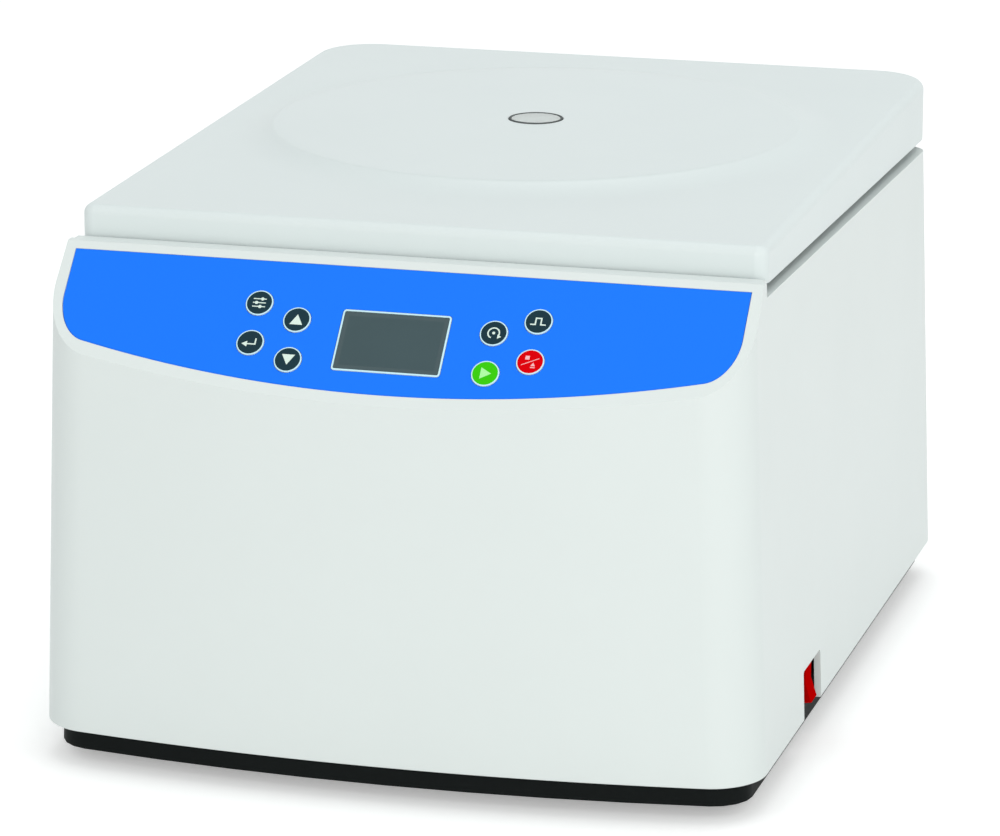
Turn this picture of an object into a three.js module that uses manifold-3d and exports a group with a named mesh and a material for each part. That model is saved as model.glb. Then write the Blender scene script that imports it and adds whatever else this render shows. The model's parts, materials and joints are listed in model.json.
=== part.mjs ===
// Benchtop centrifuge with a hinged lid, in millimetres.
// +Z is up, the control panel faces -Y, and the origin is on the table under the middle of the machine.
import * as THREE from 'three';
import { mergeVertices } from 'three/addons/utils/BufferGeometryUtils.js';
import Module from 'manifold-3d';

const wasm = await Module();
wasm.setup();

// Clearance between fitted pieces, how far a cutter overruns, and the facets of round shapes
const fit = 0.3;
const overrun = 5;
const roundSegments = 32;
const mediumSegments = 24;
const smallSegments = 16;
const footSegments = 12;
const stemSegments = 8;
const cornerSteps = 2;

// Rotor with its tube pockets, which sets the size of the chamber
const pocketCount = 6;
const pocketRadius = 14.5;
const pocketDepth = 74;
const pocketCircleRadius = 54;
const pocketAngle = THREE.MathUtils.degToRad(28);
const pocketWall = 4.46;
const rotorBaseWall = 5.85;
const rotorFlare = 36;
const rotorShoulder = 21.8;
const rotorEdge = 1.5;
const crownInset = 21.2;
const crownBevel = 1.2;
const dishRim = 5.8;
const dishSlope = 8;
const dishDepth = 14;
const rotorRadius = pocketCircleRadius + pocketDepth * Math.sin(pocketAngle)
  + pocketRadius * Math.cos(pocketAngle) + pocketWall;
const rotorHeight = pocketDepth * Math.cos(pocketAngle)
  + pocketRadius * Math.sin(pocketAngle) + rotorBaseWall;

// Chamber round the rotor
const rotorSideGap = 19;
const rotorFloorGap = 18.5;
const rotorTopGap = 16.5;
const bowlSheet = 1.5;
const bowlFlange = 15;
const bowlCorner = 16;
const bowlHole = 30;
const bowlCornerSteps = 3;
const sealHeight = 6;
const sealWidth = 8;
const chamberRadius = rotorRadius + rotorSideGap;
const chamberDepth = rotorFloorGap + rotorHeight + rotorTopGap;

// Motor, its mounts and the shaft
const mountCount = 3;
const mountHeight = 24.4;
const mountRadius = 14;
const mountWaistRadius = 10;
const mountStudRadius = 4;
const mountGap = 3;
const motorRadius = 52;
const motorHeight = 77;
const motorFlange = 5;
const motorRib = 2.5;
const motorCapHeight = 15;
const motorBossRadius = 16;
const motorBossHeight = 6;
const motorSealGap = 2.2;
const motorPlateThickness = 5;
const airWindowRadius = 17.6;
const shaftRadius = 8;
const shaftShoulderRadius = 10;
const shaftBiteDepth = 24;
const nutRadius = 15;
const nutHeight = 22;
const nutRoof = 6;
const nutFluteCount = 8;
const nutFluteRadius = 2;

// Base tray and feet
const footHeight = 7;
const footRadius = 14;
const footTopRadius = 12;
const footInset = 45;
const footRecess = 1;
const baseHeight = 12;
const baseRecess = 7.7;
const trayFloor = 4;
const trayWall = 3.5;
const trayRimHeight = 12;

// Housing
const chamberSideRoom = 65;
const chamberRearRoom = 57;
const frontBow = 16;
const sideDraft = THREE.MathUtils.degToRad(1.96);
const casingWall = 3.5;
const frontCornerRadius = 25;
const backCornerRadius = 16;
const frontCornerSteps = 4;
const backCornerSteps = 3;
const bowSteps = 8;
const deckThickness = 4;
const deckDrop = 23;
const deckFrontLap = 4;
const ledgeHeight = 4;
const ledgeWidth = 5;
const sideTopDrop = 8;
const sideTopFall = 10;
const rimThickness = 5;
const panelLength = 83.23;
const panelAngle = THREE.MathUtils.degToRad(46.3);
const panelWall = 4;

// Lid
const lidFrontGap = 8.1;
const lidOverhang = 25;
const lidSideInset = 10.5;
const lidRise = 15.5;
const lidSkirtGap = 4.6;
const lidWall = 4;
const lidEdgeRadius = 5;
const lidEdgeSteps = 4;
const lidFrontCornerRadius = 7;
const lidFrontCornerSteps = 3;
const lidBackCornerRadius = 32;
const lidBackCornerSteps = 6;
const domeLap = 17;
const domeMargin = 7.5;
const domeRimHeight = 7;
const domeCrown = 3;
const domeSegments = 40;
const domeFlankSteps = 6;
const domeCrownSteps = 2;
const sightRadius = 15;
const sightTubeWall = 5;
const lensThickness = 3.6;
const lensLap = 3;
const lensCrown = 0.9;
const linerSheet = 3;
const linerPlateDrop = 11.5;
const linerBossTaper = 2;
const bossMargin = 5;

// Hinges at the back of the lid
const hingeOffset = 9.5;
const hingeRise = 7;
const hingeInset = 69.5;
const hingeWidth = 44;
const hingePinRadius = 3;
const pinHead = 1.5;
const knuckleRadius = 6;
const lidKnuckleWidth = 16;
const leafThickness = 3;
const leafTopDrop = 3.5;
const leafLowGap = 1;
const lidLeafReach = 34;
const linerHingeGap = 14;

// Lid lock: a striker loop on the lid and a hook under the deck
const lockSetback = 20;
const lockSlotHalfWidth = 17;
const lockSlotFrontReach = 12;
const lockSlotBackReach = 30;
const lockWall = 6;
const lockFloor = 3;
const lockSideLap = 5;
const lockHeight = 34;
const lockBowlGap = 31.4;
const strikerHalfWidth = 9;
const strikerRadius = 2.5;
const strikerDrop = 12;
const strikerPlate = 2.5;
const hookThickness = 6;
const hookPivotBack = 14;
const hookPivotDrop = 16;
const hookPivotRadius = 2.5;
const hookHubRadius = 6;
const hookArm = 8;
const hookNose = 4;
const hookPlay = 0.8;
const hookRelease = THREE.MathUtils.degToRad(25);
const solenoidRadius = 9;
const solenoidBowlGap = 10.9;

// Control panel: overlay, display, keys and the board behind them
const overlaySideMargin = 5.7;
const overlayFootMargin = 4.6;
const overlayTopMargin = 5;
const overlayCornerRadius = 15;
const overlayThickness = 1;
const overlayProud = 0.1;
const displayFootDrop = 36.1;
const displayWidth = 56.2;
const displayHeight = 34.8;
const displayFrameWidth = 0.9;
const displayCornerRadius = 1.8;
const displayFrameProud = 0.35;
const moduleInset = 3.2;
const moduleHeadGap = 0.6;
const keyRadius = 7.1;
const keyThickness = 1;
const keyProud = 0.7;
const keyTravel = 0.6;
const keyStemRadius = 4;
const keyDisplayGap = 22.9;
const keyColumnPitch = 21.4;
const keyRowRise = 17.5;
const keyRowPitch = 22.9;
const keyStagger = 8.2;
const boardGap = 8.2;
const boardThickness = 1.6;
const boardSideMargin = 32;
const boardTopMargin = 7.6;
const boardFootMargin = 9;
const boardPostRadius = 4;
const boardPostInset = 5;

// Power switch, in a notch of the right side's lower edge
const notchSetback = 129;
const notchLength = 41;
const notchHeight = 26.5;
const notchCornerRadius = 2;
const notchDepth = 10.5;
const rockerWidth = 14;
const rockerHeight = 24;
const rockerFromNotch = 24;
const rockerTilt = THREE.MathUtils.degToRad(9);
const rockerPivotDepth = 6;
const rockerEndGap = 1.4;
const switchWall = 1;
const switchDepth = 24;
const switchWellDepth = 12;
const bezelMargin = 2.5;
const bezelLip = 1.25;
const bezelThickness = 1.5;
const bracketMargin = 6;
const bracketThickness = 2;
const terminalWidth = 7;
const terminalThickness = 1;
const terminalPitch = 8;

// Rear panel and what it carries
const rearPanelInset = 38;
const rearPanelLap = 8;
const rearPanelThickness = 1.5;
const rearTrayGap = 1;
const rearLedgeGap = 5.7;
const equipmentInset = 32;
const ventMargin = 20;
const ventColumnGap = 12;
const ventColumns = 3;
const ventSlotWidth = 4;
const ventSlotCorner = 1.9;
const ventPitch = 12;
const ventFanGap = 18;
const ventTopGap = 18;
const inletRise = 10;
const inletWidth = 50;
const inletHeight = 28;
const inletFlange = 2.5;
const inletBodyWidth = 28;
const inletBodyHeight = 20.5;
const inletBodyDepth = 22;
const inletSocketWidth = 24.5;
const inletSocketHeight = 17;
const inletSocketDepth = 18;
const inletSocketKey = 4.25;
const inletPinLength = 12;
const inletPinPitch = 7;
const inletPinWidth = 2;
const inletPinHeight = 4.4;
const fuseGap = 18;
const fuseRadius = 7;
const fuseBodyRadius = 5.5;
const fuseDepth = 26;
const fuseHeadLength = 4;
const fuseGrooveHalf = 1.2;

// Fan behind the rear panel
const fanRise = 11;
const fanSize = 80;
const fanDepth = 25;
const fanCornerRadius = 4;
const fanRingWall = 2.8;
const fanTipGap = 1.2;
const fanHubRadius = 15;
const fanBladeCount = 7;
const fanBladePitch = THREE.MathUtils.degToRad(38);
const fanBladeThickness = 1.6;
const fanStrutWidth = 3;
const fanStrutDepth = 3;
const fanAxleRadius = 2.5;
const fanAxleGap = 6.25;
const fanSlotPitch = 9;

// Drive board on the tray
const driveBoardInset = 30;
const driveBoardSetback = 42.5;
const driveBoardWidth = 130;
const driveBoardDepth = 90;
const driveBoardRise = 9;
const driveBoardEdge = 7;
const heatSinkWidth = 43;
const heatSinkHeight = 30;
const heatSinkBase = 3.5;
const heatSinkFins = 6;
const finThickness = 2.4;
const capacitorRadius = 11;
const capacitorGap = 5;
const transformerWidth = 49;
const transformerDepth = 29;
const transformerHeight = 27;

// Heights, worked out from the table upwards
const casingBottom = footHeight + baseHeight;
const trayFloorTop = footHeight + trayFloor;
const trayTop = casingBottom + trayRimHeight;
const mountBottom = trayFloorTop + fit;
const mountTop = mountBottom + mountHeight;
const motorPlateBottom = mountTop + fit;
const motorPlateTop = motorPlateBottom + motorPlateThickness;
const motorBottom = motorPlateTop + fit;
const motorTop = motorBottom + motorHeight;
const bowlFloor = motorTop + motorBossHeight + motorSealGap + 3 * bowlSheet;
const rotorBottom = bowlFloor + rotorFloorGap;
const rotorTop = rotorBottom + rotorHeight;
const hubTop = rotorTop - dishDepth;
const nutTop = hubTop + fit + nutHeight;
const shaftTop = nutTop - nutRoof - fit;
const deckTop = bowlFloor + chamberDepth;
const deckBottom = deckTop - deckThickness;
const bowlFlangeTop = deckTop + fit + bowlSheet;
const sealBottom = bowlFlangeTop + fit;
const sealTop = sealBottom + sealHeight;
const rimZ = deckTop + deckDrop;
const lidTop = rimZ + lidRise;
const domeTop = lidTop + domeRimHeight + domeCrown;
const lensTop = domeTop - lidWall - 2 * fit;
const lensBottom = lensTop - lensThickness;
const linerPlateTop = lidTop - linerPlateDrop;
const linerPlateBottom = linerPlateTop - linerSheet;
const linerBossBottom = sealTop + fit;

// Places from front to back
const rimSetback = panelLength * Math.cos(panelAngle);
const lidSetback = rimSetback + rimThickness + lidFrontGap;
const chamberSetback = lidSetback + lockSetback + lockSlotBackReach + lockWall + lockBowlGap
  + bowlFlange + chamberRadius;
const casingDepth = chamberSetback + chamberRadius + chamberRearRoom;
const frontY = -(casingDepth + lidOverhang) / 2;
const backY = frontY + casingDepth;
const rimY = frontY + rimSetback;
const rimBackY = rimY + rimThickness;
const lidFrontY = frontY + lidSetback;
const lidBackY = backY + lidOverhang;
const lockY = lidFrontY + lockSetback;
const lockSlotFront = lockY - lockSlotFrontReach;
const lockSlotBack = lockY + lockSlotBackReach;
const chamberY = frontY + chamberSetback;
const hingeY = backY + hingeOffset;

// Places from side to side
const casingWidth = 2 * (chamberRadius + chamberSideRoom);
const lidWidth = casingWidth - 2 * lidSideInset;
const beyondSide = casingWidth / 2 + overrun;
const domeRadius = chamberRadius + domeLap;
const domeFoot = lidWidth / 2 - domeMargin;
const linerBossRadius = chamberRadius + bowlFlange + bossMargin;
const lensRadius = sightRadius + lensLap;
const hingeX = lidWidth / 2 - hingeInset;
const mountCircleRadius = motorRadius + motorFlange + mountRadius + mountGap;
const motorPlateRadius = mountCircleRadius + mountRadius;

// Colours and finishes seen on the machine
function finish(color, roughness, metalness) {
  return new THREE.MeshStandardMaterial({ color, roughness, metalness });
}
const paintedShell = finish(0xdee6e4, 0.35, 0);
const lidPlastic = finish(0xdde6e6, 0.32, 0);
const blackPlastic = finish(0x141818, 0.6, 0);
const blackRubber = finish(0x101212, 0.9, 0);
const overlayBlue = finish(0x1f7aff, 0.4, 0);
const paleFrame = finish(0xf0f6f4, 0.4, 0);
const displayGrey = finish(0x4b5b5f, 0.15, 0);
const keyTeal = finish(0x1e3842, 0.45, 0);
const keyGreen = finish(0x3ccd0a, 0.45, 0);
const keyRed = finish(0xde000a, 0.45, 0);
const rockerRed = finish(0xc80000, 0.25, 0);
const boardGreen = finish(0x1c6b3a, 0.55, 0);
const stainless = finish(0xc4c9cb, 0.3, 0.9);
const anodised = finish(0x9aa2a6, 0.4, 0.8);
const zincSteel = finish(0xa9adb0, 0.45, 0.8);
const greyRubber = finish(0x53585a, 0.85, 0);
const clearGlass = finish(0xd8e6e2, 0.08, 0);
const sheetPaint = finish(0xd5dcda, 0.5, 0.1);

const centrifuge = new THREE.Group();
centrifuge.name = 'benchtop_centrifuge';

function addPiece(name, geometry, material, parent = centrifuge) {
  const piece = new THREE.Mesh(geometry, material);
  piece.name = name;
  parent.add(piece);
  return piece;
}

// Joining and cutting of closed meshes
function toSolid(geometry) {
  const bare = new THREE.BufferGeometry();
  bare.setAttribute('position', geometry.getAttribute('position'));
  if (geometry.index) bare.setIndex(geometry.index);
  const merged = mergeVertices(bare);
  const numProp = merged.getAttribute('position').itemSize;
  const vertProperties = Float32Array.from(merged.getAttribute('position').array);
  const triVerts = Uint32Array.from(merged.index.array);
  return new wasm.Manifold(new wasm.Mesh({ numProp, vertProperties, triVerts }));
}

function toGeometry(solid) {
  const mesh = solid.getMesh();
  const geometry = new THREE.BufferGeometry();
  geometry.setAttribute('position', new THREE.BufferAttribute(mesh.vertProperties, mesh.numProp));
  geometry.setIndex(new THREE.BufferAttribute(mesh.triVerts, 1));
  geometry.computeVertexNormals();
  return geometry;
}

function join(first, ...others) {
  return toGeometry(others.reduce((solid, other) => solid.add(toSolid(other)), toSolid(first)));
}

function cut(base, ...tools) {
  return toGeometry(tools.reduce((solid, tool) => solid.subtract(toSolid(tool)), toSolid(base)));
}

function common(first, second) {
  return toGeometry(toSolid(first).intersect(toSolid(second)));
}

// Plain shapes
function block(x0, x1, y0, y1, z0, z1) {
  const box = new THREE.BoxGeometry(x1 - x0, y1 - y0, z1 - z0);
  return box.translate((x0 + x1) / 2, (y0 + y1) / 2, (z0 + z1) / 2);
}

function drum(radius, z0, z1, segments = smallSegments) {
  const cylinder = new THREE.CylinderGeometry(radius, radius, z1 - z0, segments);
  return cylinder.rotateX(Math.PI / 2).translate(0, 0, (z0 + z1) / 2);
}

// A drum whose axis lies along X
function barrel(radius, x0, x1, y, z, segments = smallSegments) {
  const cylinder = new THREE.CylinderGeometry(radius, radius, x1 - x0, segments);
  return cylinder.rotateZ(Math.PI / 2).translate((x0 + x1) / 2, y, z);
}

// A drum whose axis lies along Y
function plug(radius, y0, y1, x, z, segments = smallSegments) {
  const cylinder = new THREE.CylinderGeometry(radius, radius, y1 - y0, segments);
  return cylinder.translate(x, (y0 + y1) / 2, z);
}

// Turns a profile of [radius, height] pairs about the Z axis
function revolve(profile, segments = smallSegments) {
  const points = profile.map(([radius, height]) => new THREE.Vector2(radius, height));
  return new THREE.LatheGeometry(points, segments).rotateX(Math.PI / 2);
}

// Turns a closed ring profile, so that the solid has a bore
function revolveRing(profile, segments = smallSegments) {
  return revolve([...profile, profile[0]], segments);
}

function polygon(points) {
  return new THREE.Shape(points.map(([x, y]) => new THREE.Vector2(x, y)));
}

// Extrudes an outline in the XY plane from z0 to z1
function plate(shape, z0, z1, curveSegments) {
  const settings = { depth: z1 - z0, bevelEnabled: false, curveSegments };
  return new THREE.ExtrudeGeometry(shape, settings).translate(0, 0, z0);
}

// Extrudes an outline of [x, z] pairs along Y
function uprightPlate(shape, y0, y1, curveSegments) {
  return plate(shape, -y1, -y0, curveSegments).rotateX(Math.PI / 2);
}

// Extrudes an outline of [y, z] pairs along X
function sidePlate(shape, x0, x1, curveSegments) {
  return plate(shape, x0, x1, curveSegments).rotateX(Math.PI / 2).rotateZ(Math.PI / 2);
}

// Rectangle with round corners, centred on x and y
function roundedRectangle(width, height, radius, x = 0, y = 0) {
  const shape = new THREE.Shape();
  const right = x + width / 2 - radius;
  const left = x - width / 2 + radius;
  const top = y + height / 2 - radius;
  const bottom = y - height / 2 + radius;
  shape.absarc(right, bottom, radius, -Math.PI / 2, 0);
  shape.absarc(right, top, radius, 0, Math.PI / 2);
  shape.absarc(left, top, radius, Math.PI / 2, Math.PI);
  shape.absarc(left, bottom, radius, Math.PI, Math.PI * 3 / 2);
  shape.closePath();
  return shape;
}

// Copies of a shape turned evenly about the Z axis
function aroundAxis(count, makeOne, firstTurn = 0) {
  return Array.from({ length: count }, (_, i) => makeOne(i).rotateZ(firstTurn + i * 2 * Math.PI / count));
}

// Skins a stack of rings that have the same number of points; each ring is { points, z }
function loft(rings) {
  const count = rings[0].points.length;
  const positions = rings.flatMap(({ points, z }) => points.flatMap((point) => [point.x, point.y, z]));
  const faces = [];
  for (let level = 0; level < rings.length - 1; level += 1) {
    for (let i = 0; i < count; i += 1) {
      const next = (i + 1) % count;
      const low = level * count;
      const high = low + count;
      faces.push(low + i, low + next, high + next, low + i, high + next, high + i);
    }
  }
  const topStart = (rings.length - 1) * count;
  for (const [a, b, c] of THREE.ShapeUtils.triangulateShape(rings[0].points, [])) faces.push(a, c, b);
  for (const [a, b, c] of THREE.ShapeUtils.triangulateShape(rings.at(-1).points, [])) {
    faces.push(topStart + a, topStart + b, topStart + c);
  }
  const geometry = new THREE.BufferGeometry();
  geometry.setAttribute('position', new THREE.Float32BufferAttribute(positions, 3));
  geometry.setIndex(faces);
  return geometry;
}

// Plan outline of a round-cornered box, counter-clockwise, with a front that swells forward by bow
function planOutline({
  halfWidth, front, back, frontRadius, backRadius, bow, frontSteps, backSteps, faceSteps,
}) {
  const points = [];
  const corner = (x, y, radius, start, steps) => {
    for (let step = 0; step <= steps; step += 1) {
      const angle = start + (Math.PI / 2) * step / steps;
      points.push(new THREE.Vector2(x + radius * Math.cos(angle), y + radius * Math.sin(angle)));
    }
  };
  const span = halfWidth - frontRadius;
  for (let step = 1; step < faceSteps; step += 1) {
    points.push(new THREE.Vector2(-span + 2 * span * step / faceSteps, front));
  }
  corner(halfWidth - frontRadius, front + frontRadius, frontRadius, -Math.PI / 2, frontSteps);
  corner(halfWidth - backRadius, back - backRadius, backRadius, 0, backSteps);
  corner(-halfWidth + backRadius, back - backRadius, backRadius, Math.PI / 2, backSteps);
  corner(-halfWidth + frontRadius, front + frontRadius, frontRadius, Math.PI, frontSteps);
  for (const point of points) {
    const share = point.x / halfWidth;
    if (point.y < (front + back) / 2) point.y -= bow * (1 - share * share);
  }
  return points;
}

function halfWidthAt(z) {
  return casingWidth / 2 - (z - casingBottom) * Math.tan(sideDraft);
}

// The casing's outline at a height, moved inwards by inset
function casingOutline(z, inset) {
  return planOutline({
    halfWidth: halfWidthAt(z) - inset,
    front: frontY + frontBow + inset,
    back: backY - inset,
    frontRadius: Math.max(frontCornerRadius - inset, fit),
    backRadius: Math.max(backCornerRadius - inset, fit),
    bow: frontBow,
    frontSteps: frontCornerSteps,
    backSteps: backCornerSteps,
    faceSteps: bowSteps,
  });
}

function casingBlock(inset, z0, z1) {
  return loft([z0, z1].map((z) => ({ points: casingOutline(z, inset), z })));
}

// The side walls' top edge falls from the lid's front to the back
function sideTopAt(y) {
  return rimZ - sideTopDrop - (y - lidFrontY) * sideTopFall / (backY - lidFrontY);
}

function panelZAt(y) {
  return rimZ + (y - rimY) * Math.tan(panelAngle);
}

// The inclined panel has its own frame: x to the right, y up the slope, z out of the panel
const panelFrame = new THREE.Group();
panelFrame.position.set(0, rimY, rimZ);
panelFrame.rotation.x = panelAngle;
panelFrame.updateMatrix();
centrifuge.add(panelFrame);

function onPanel(geometry) {
  return geometry.clone().applyMatrix4(panelFrame.matrix);
}

function offPanel(geometry) {
  return geometry.clone().applyMatrix4(panelFrame.matrix.clone().invert());
}

// Places on the panel: x from its middle, drop down the slope from the rim
const displayDrop = panelLength - displayFootDrop;
const innerKeyX = displayWidth / 2 + keyDisplayGap;
const outerKeyX = innerKeyX + keyColumnPitch;
const outerUpperDrop = displayDrop - keyRowRise;
const outerLowerDrop = outerUpperDrop + keyRowPitch;
const innerUpperDrop = outerUpperDrop + keyStagger;
const innerLowerDrop = innerUpperDrop + keyRowPitch;
const keys = [
  { name: 'key_set', x: -outerKeyX, drop: outerUpperDrop, material: keyTeal },
  { name: 'key_enter', x: -outerKeyX, drop: outerLowerDrop, material: keyTeal },
  { name: 'key_up', x: -innerKeyX, drop: innerUpperDrop, material: keyTeal },
  { name: 'key_down', x: -innerKeyX, drop: innerLowerDrop, material: keyTeal },
  { name: 'key_units', x: innerKeyX, drop: innerUpperDrop, material: keyTeal },
  { name: 'key_pulse', x: outerKeyX, drop: outerUpperDrop, material: keyTeal },
  { name: 'key_start', x: innerKeyX, drop: innerLowerDrop, material: keyGreen },
  { name: 'key_stop', x: outerKeyX, drop: outerLowerDrop, material: keyRed },
];
const moduleWidth = displayWidth - 2 * moduleInset;
const moduleHeight = displayHeight - 2 * moduleInset;
const boardHalfWidth = outerKeyX + boardSideMargin;
const boardTopDrop = outerUpperDrop - boardTopMargin;
const boardFootDrop = innerLowerDrop + boardFootMargin;
const overlayUnderside = overlayProud - overlayThickness;

// The overlay keeps its own width down the slope and follows the bowed front
function overlayOutline(extra) {
  return planOutline({
    halfWidth: halfWidthAt(rimZ) - overlaySideMargin + extra,
    front: frontY + frontBow + overlayFootMargin - extra,
    back: backY,
    frontRadius: overlayCornerRadius + extra,
    backRadius: overlayCornerRadius,
    bow: frontBow,
    frontSteps: frontCornerSteps,
    backSteps: 1,
    faceSteps: bowSteps,
  });
}

// The space that the overlay fills, between two heights over the panel, grown by extra all round
function overlaySlab(extra, low, high) {
  const slab = onPanel(block(
    -beyondSide, beyondSide, -panelLength - 2 * overrun, -overlayTopMargin + extra, low, high,
  ));
  const levels = [casingBottom, rimZ + overrun];
  return common(slab, loft(levels.map((z) => ({ points: overlayOutline(extra), z }))));
}

function keyHole(key, radius, low, high) {
  return onPanel(drum(radius, low, high).translate(key.x, -key.drop, 0));
}

function displayBlock(extra, low, high, width = displayWidth, height = displayHeight) {
  const radius = Math.max(displayCornerRadius + extra, fit);
  const shape = roundedRectangle(width + 2 * extra, height + 2 * extra, radius, 0, -displayDrop);
  return onPanel(plate(shape, low, high, cornerSteps));
}

function boardPosts(low, high) {
  const x = boardHalfWidth - boardPostInset;
  const drops = [boardTopDrop + boardPostInset, boardFootDrop - boardPostInset];
  return drops.flatMap((drop) => [-x, x].map((side) => (
    onPanel(drum(boardPostRadius, low, high, stemSegments).translate(side, -drop, 0))
  )));
}

// Rear opening and the places of what the rear panel carries
const rearOpeningHalf = casingWidth / 2 - rearPanelInset;
const rearOpeningLow = trayTop + rearPanelLap + rearTrayGap;
const rearOpeningHigh = deckBottom - fit - ledgeHeight - rearPanelLap - rearLedgeGap;
const rearPanelOuterY = backY - casingWall - fit;
const rearPanelInnerY = rearPanelOuterY - rearPanelThickness;
const fanX = -(rearOpeningHalf - equipmentInset - fanSize / 2);
const fanZ = rearOpeningLow + fanRise + fanSize / 2;
const fanOuterY = rearPanelInnerY - fit;
const fanInnerY = fanOuterY - fanDepth;
const fanWheelRadius = fanSize / 2 - fanRingWall - fanTipGap;
const inletX = rearOpeningHalf - equipmentInset - inletWidth / 2;
const inletZ = rearOpeningLow + inletRise + inletHeight / 2;
const fuseX = inletX - inletWidth / 2 - fuseGap - fuseRadius;

// Places of the switch in its notch
const notchFront = frontY + notchSetback;
const notchBack = notchFront + notchLength;
const notchTop = casingBottom + notchHeight;
const switchY = notchFront + rockerFromNotch;
const switchZ = casingBottom + notchHeight / 2;
const bezelX = halfWidthAt(notchTop + bezelMargin) - casingWall - fit * 2;
const bracketX = bezelX - bezelThickness - fit;
const switchHalfY = rockerWidth / 2 + switchWall;
const switchHalfZ = rockerHeight / 2 + switchWall;

// Outer casing
function makeCasing() {
  const profile = polygon([
    [frontY - overrun, casingBottom - overrun],
    [frontY - overrun, panelZAt(frontY - overrun)],
    [rimY, rimZ],
    [rimBackY, rimZ],
    [rimBackY, sideTopAt(rimBackY)],
    [backY + overrun, sideTopAt(backY + overrun)],
    [backY + overrun, casingBottom - overrun],
  ]);
  const panelWallDrop = panelWall / Math.cos(panelAngle);
  const hollow = polygon([
    [frontY - overrun, casingBottom - overrun - fit],
    [frontY - overrun, panelZAt(frontY - overrun) - panelWallDrop],
    [rimBackY, panelZAt(rimBackY) - panelWallDrop],
    [rimBackY, rimZ + overrun],
    [backY + overrun, rimZ + overrun],
    [backY + overrun, casingBottom - overrun - fit],
  ]);
  const outside = common(
    casingBlock(0, casingBottom, rimZ + overrun),
    sidePlate(profile, -beyondSide, beyondSide),
  );
  const inside = common(
    casingBlock(casingWall, casingBottom - overrun, rimZ + overrun + fit),
    sidePlate(hollow, -beyondSide, beyondSide),
  );
  const ledgeTop = deckBottom - fit;
  const ledge = cut(
    casingBlock(casingWall - fit, ledgeTop - ledgeHeight, ledgeTop),
    casingBlock(casingWall + ledgeWidth, ledgeTop - ledgeHeight - overrun, ledgeTop + overrun),
    block(-beyondSide, beyondSide, frontY - overrun, rimBackY + overrun, 0, rimZ),
  );
  const shell = join(cut(outside, inside), ledge, ...boardPosts(fit - boardGap, fit - panelWall));
  return cut(
    shell,
    overlaySlab(fit, overlayUnderside - fit, overrun),
    displayBlock(fit, -panelWall - overrun, overrun, moduleWidth, moduleHeight),
    ...keys.map((key) => keyHole(key, keyStemRadius + fit, -panelWall - overrun, overrun)),
    makeNotch(),
    block(
      -rearOpeningHalf, rearOpeningHalf, backY - casingWall - overrun, backY + overrun,
      rearOpeningLow, rearOpeningHigh,
    ),
  );
}

// The notch is open below and has round upper corners
function makeNotch() {
  const cornerZ = notchTop - notchCornerRadius;
  const shape = new THREE.Shape();
  shape.moveTo(notchFront, casingBottom - overrun);
  shape.lineTo(notchBack, casingBottom - overrun);
  shape.lineTo(notchBack, cornerZ);
  shape.absarc(notchBack - notchCornerRadius, cornerZ, notchCornerRadius, 0, Math.PI / 2);
  shape.absarc(notchFront + notchCornerRadius, cornerZ, notchCornerRadius, Math.PI / 2, Math.PI);
  return sidePlate(shape, casingWidth / 2 - notchDepth, beyondSide, cornerSteps);
}

// Rear panel: fan grille, vent slots and the cut-outs for the inlet and the fuse holder
function slot(length, x, z) {
  const shape = roundedRectangle(length, ventSlotWidth, ventSlotCorner, x, z);
  return uprightPlate(shape, rearPanelInnerY - overrun, rearPanelOuterY + overrun, 1);
}

function fanSlots() {
  const rows = Math.floor((fanWheelRadius - fanSlotPitch / 2) / fanSlotPitch);
  return Array.from({ length: 2 * rows + 1 }, (_, i) => {
    const offset = (i - rows) * fanSlotPitch;
    const chord = 2 * Math.sqrt(fanWheelRadius ** 2 - offset ** 2) - ventSlotWidth;
    return slot(chord, fanX, fanZ + offset);
  });
}

function ventSlots() {
  const low = fanZ + fanSize / 2 + ventFanGap;
  const high = rearOpeningHigh - ventTopGap;
  const rows = Math.max(Math.floor((high - low) / ventPitch), 0) + 1;
  const gaps = (ventColumns - 1) * ventColumnGap;
  const length = (2 * (rearOpeningHalf - ventMargin) - gaps) / ventColumns;
  return Array.from({ length: rows * ventColumns }, (_, i) => {
    const column = i % ventColumns - (ventColumns - 1) / 2;
    const row = Math.floor(i / ventColumns) - (rows - 1) / 2;
    return slot(length, column * (length + ventColumnGap), (low + high) / 2 + row * ventPitch);
  });
}

function makeRearPanel() {
  const y0 = rearPanelInnerY - overrun;
  const y1 = rearPanelOuterY + overrun;
  const halfWidth = rearOpeningHalf + rearPanelLap;
  const inletHalfWidth = inletBodyWidth / 2 + fit;
  const inletHalfHeight = inletBodyHeight / 2 + fit;
  return cut(
    block(
      -halfWidth, halfWidth, rearPanelInnerY, rearPanelOuterY,
      rearOpeningLow - rearPanelLap, rearOpeningHigh + rearPanelLap,
    ),
    block(
      inletX - inletHalfWidth, inletX + inletHalfWidth, y0, y1,
      inletZ - inletHalfHeight, inletZ + inletHalfHeight,
    ),
    plug(fuseBodyRadius + fit, y0, y1, fuseX, inletZ),
    ...fanSlots(),
    ...ventSlots(),
  );
}

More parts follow.
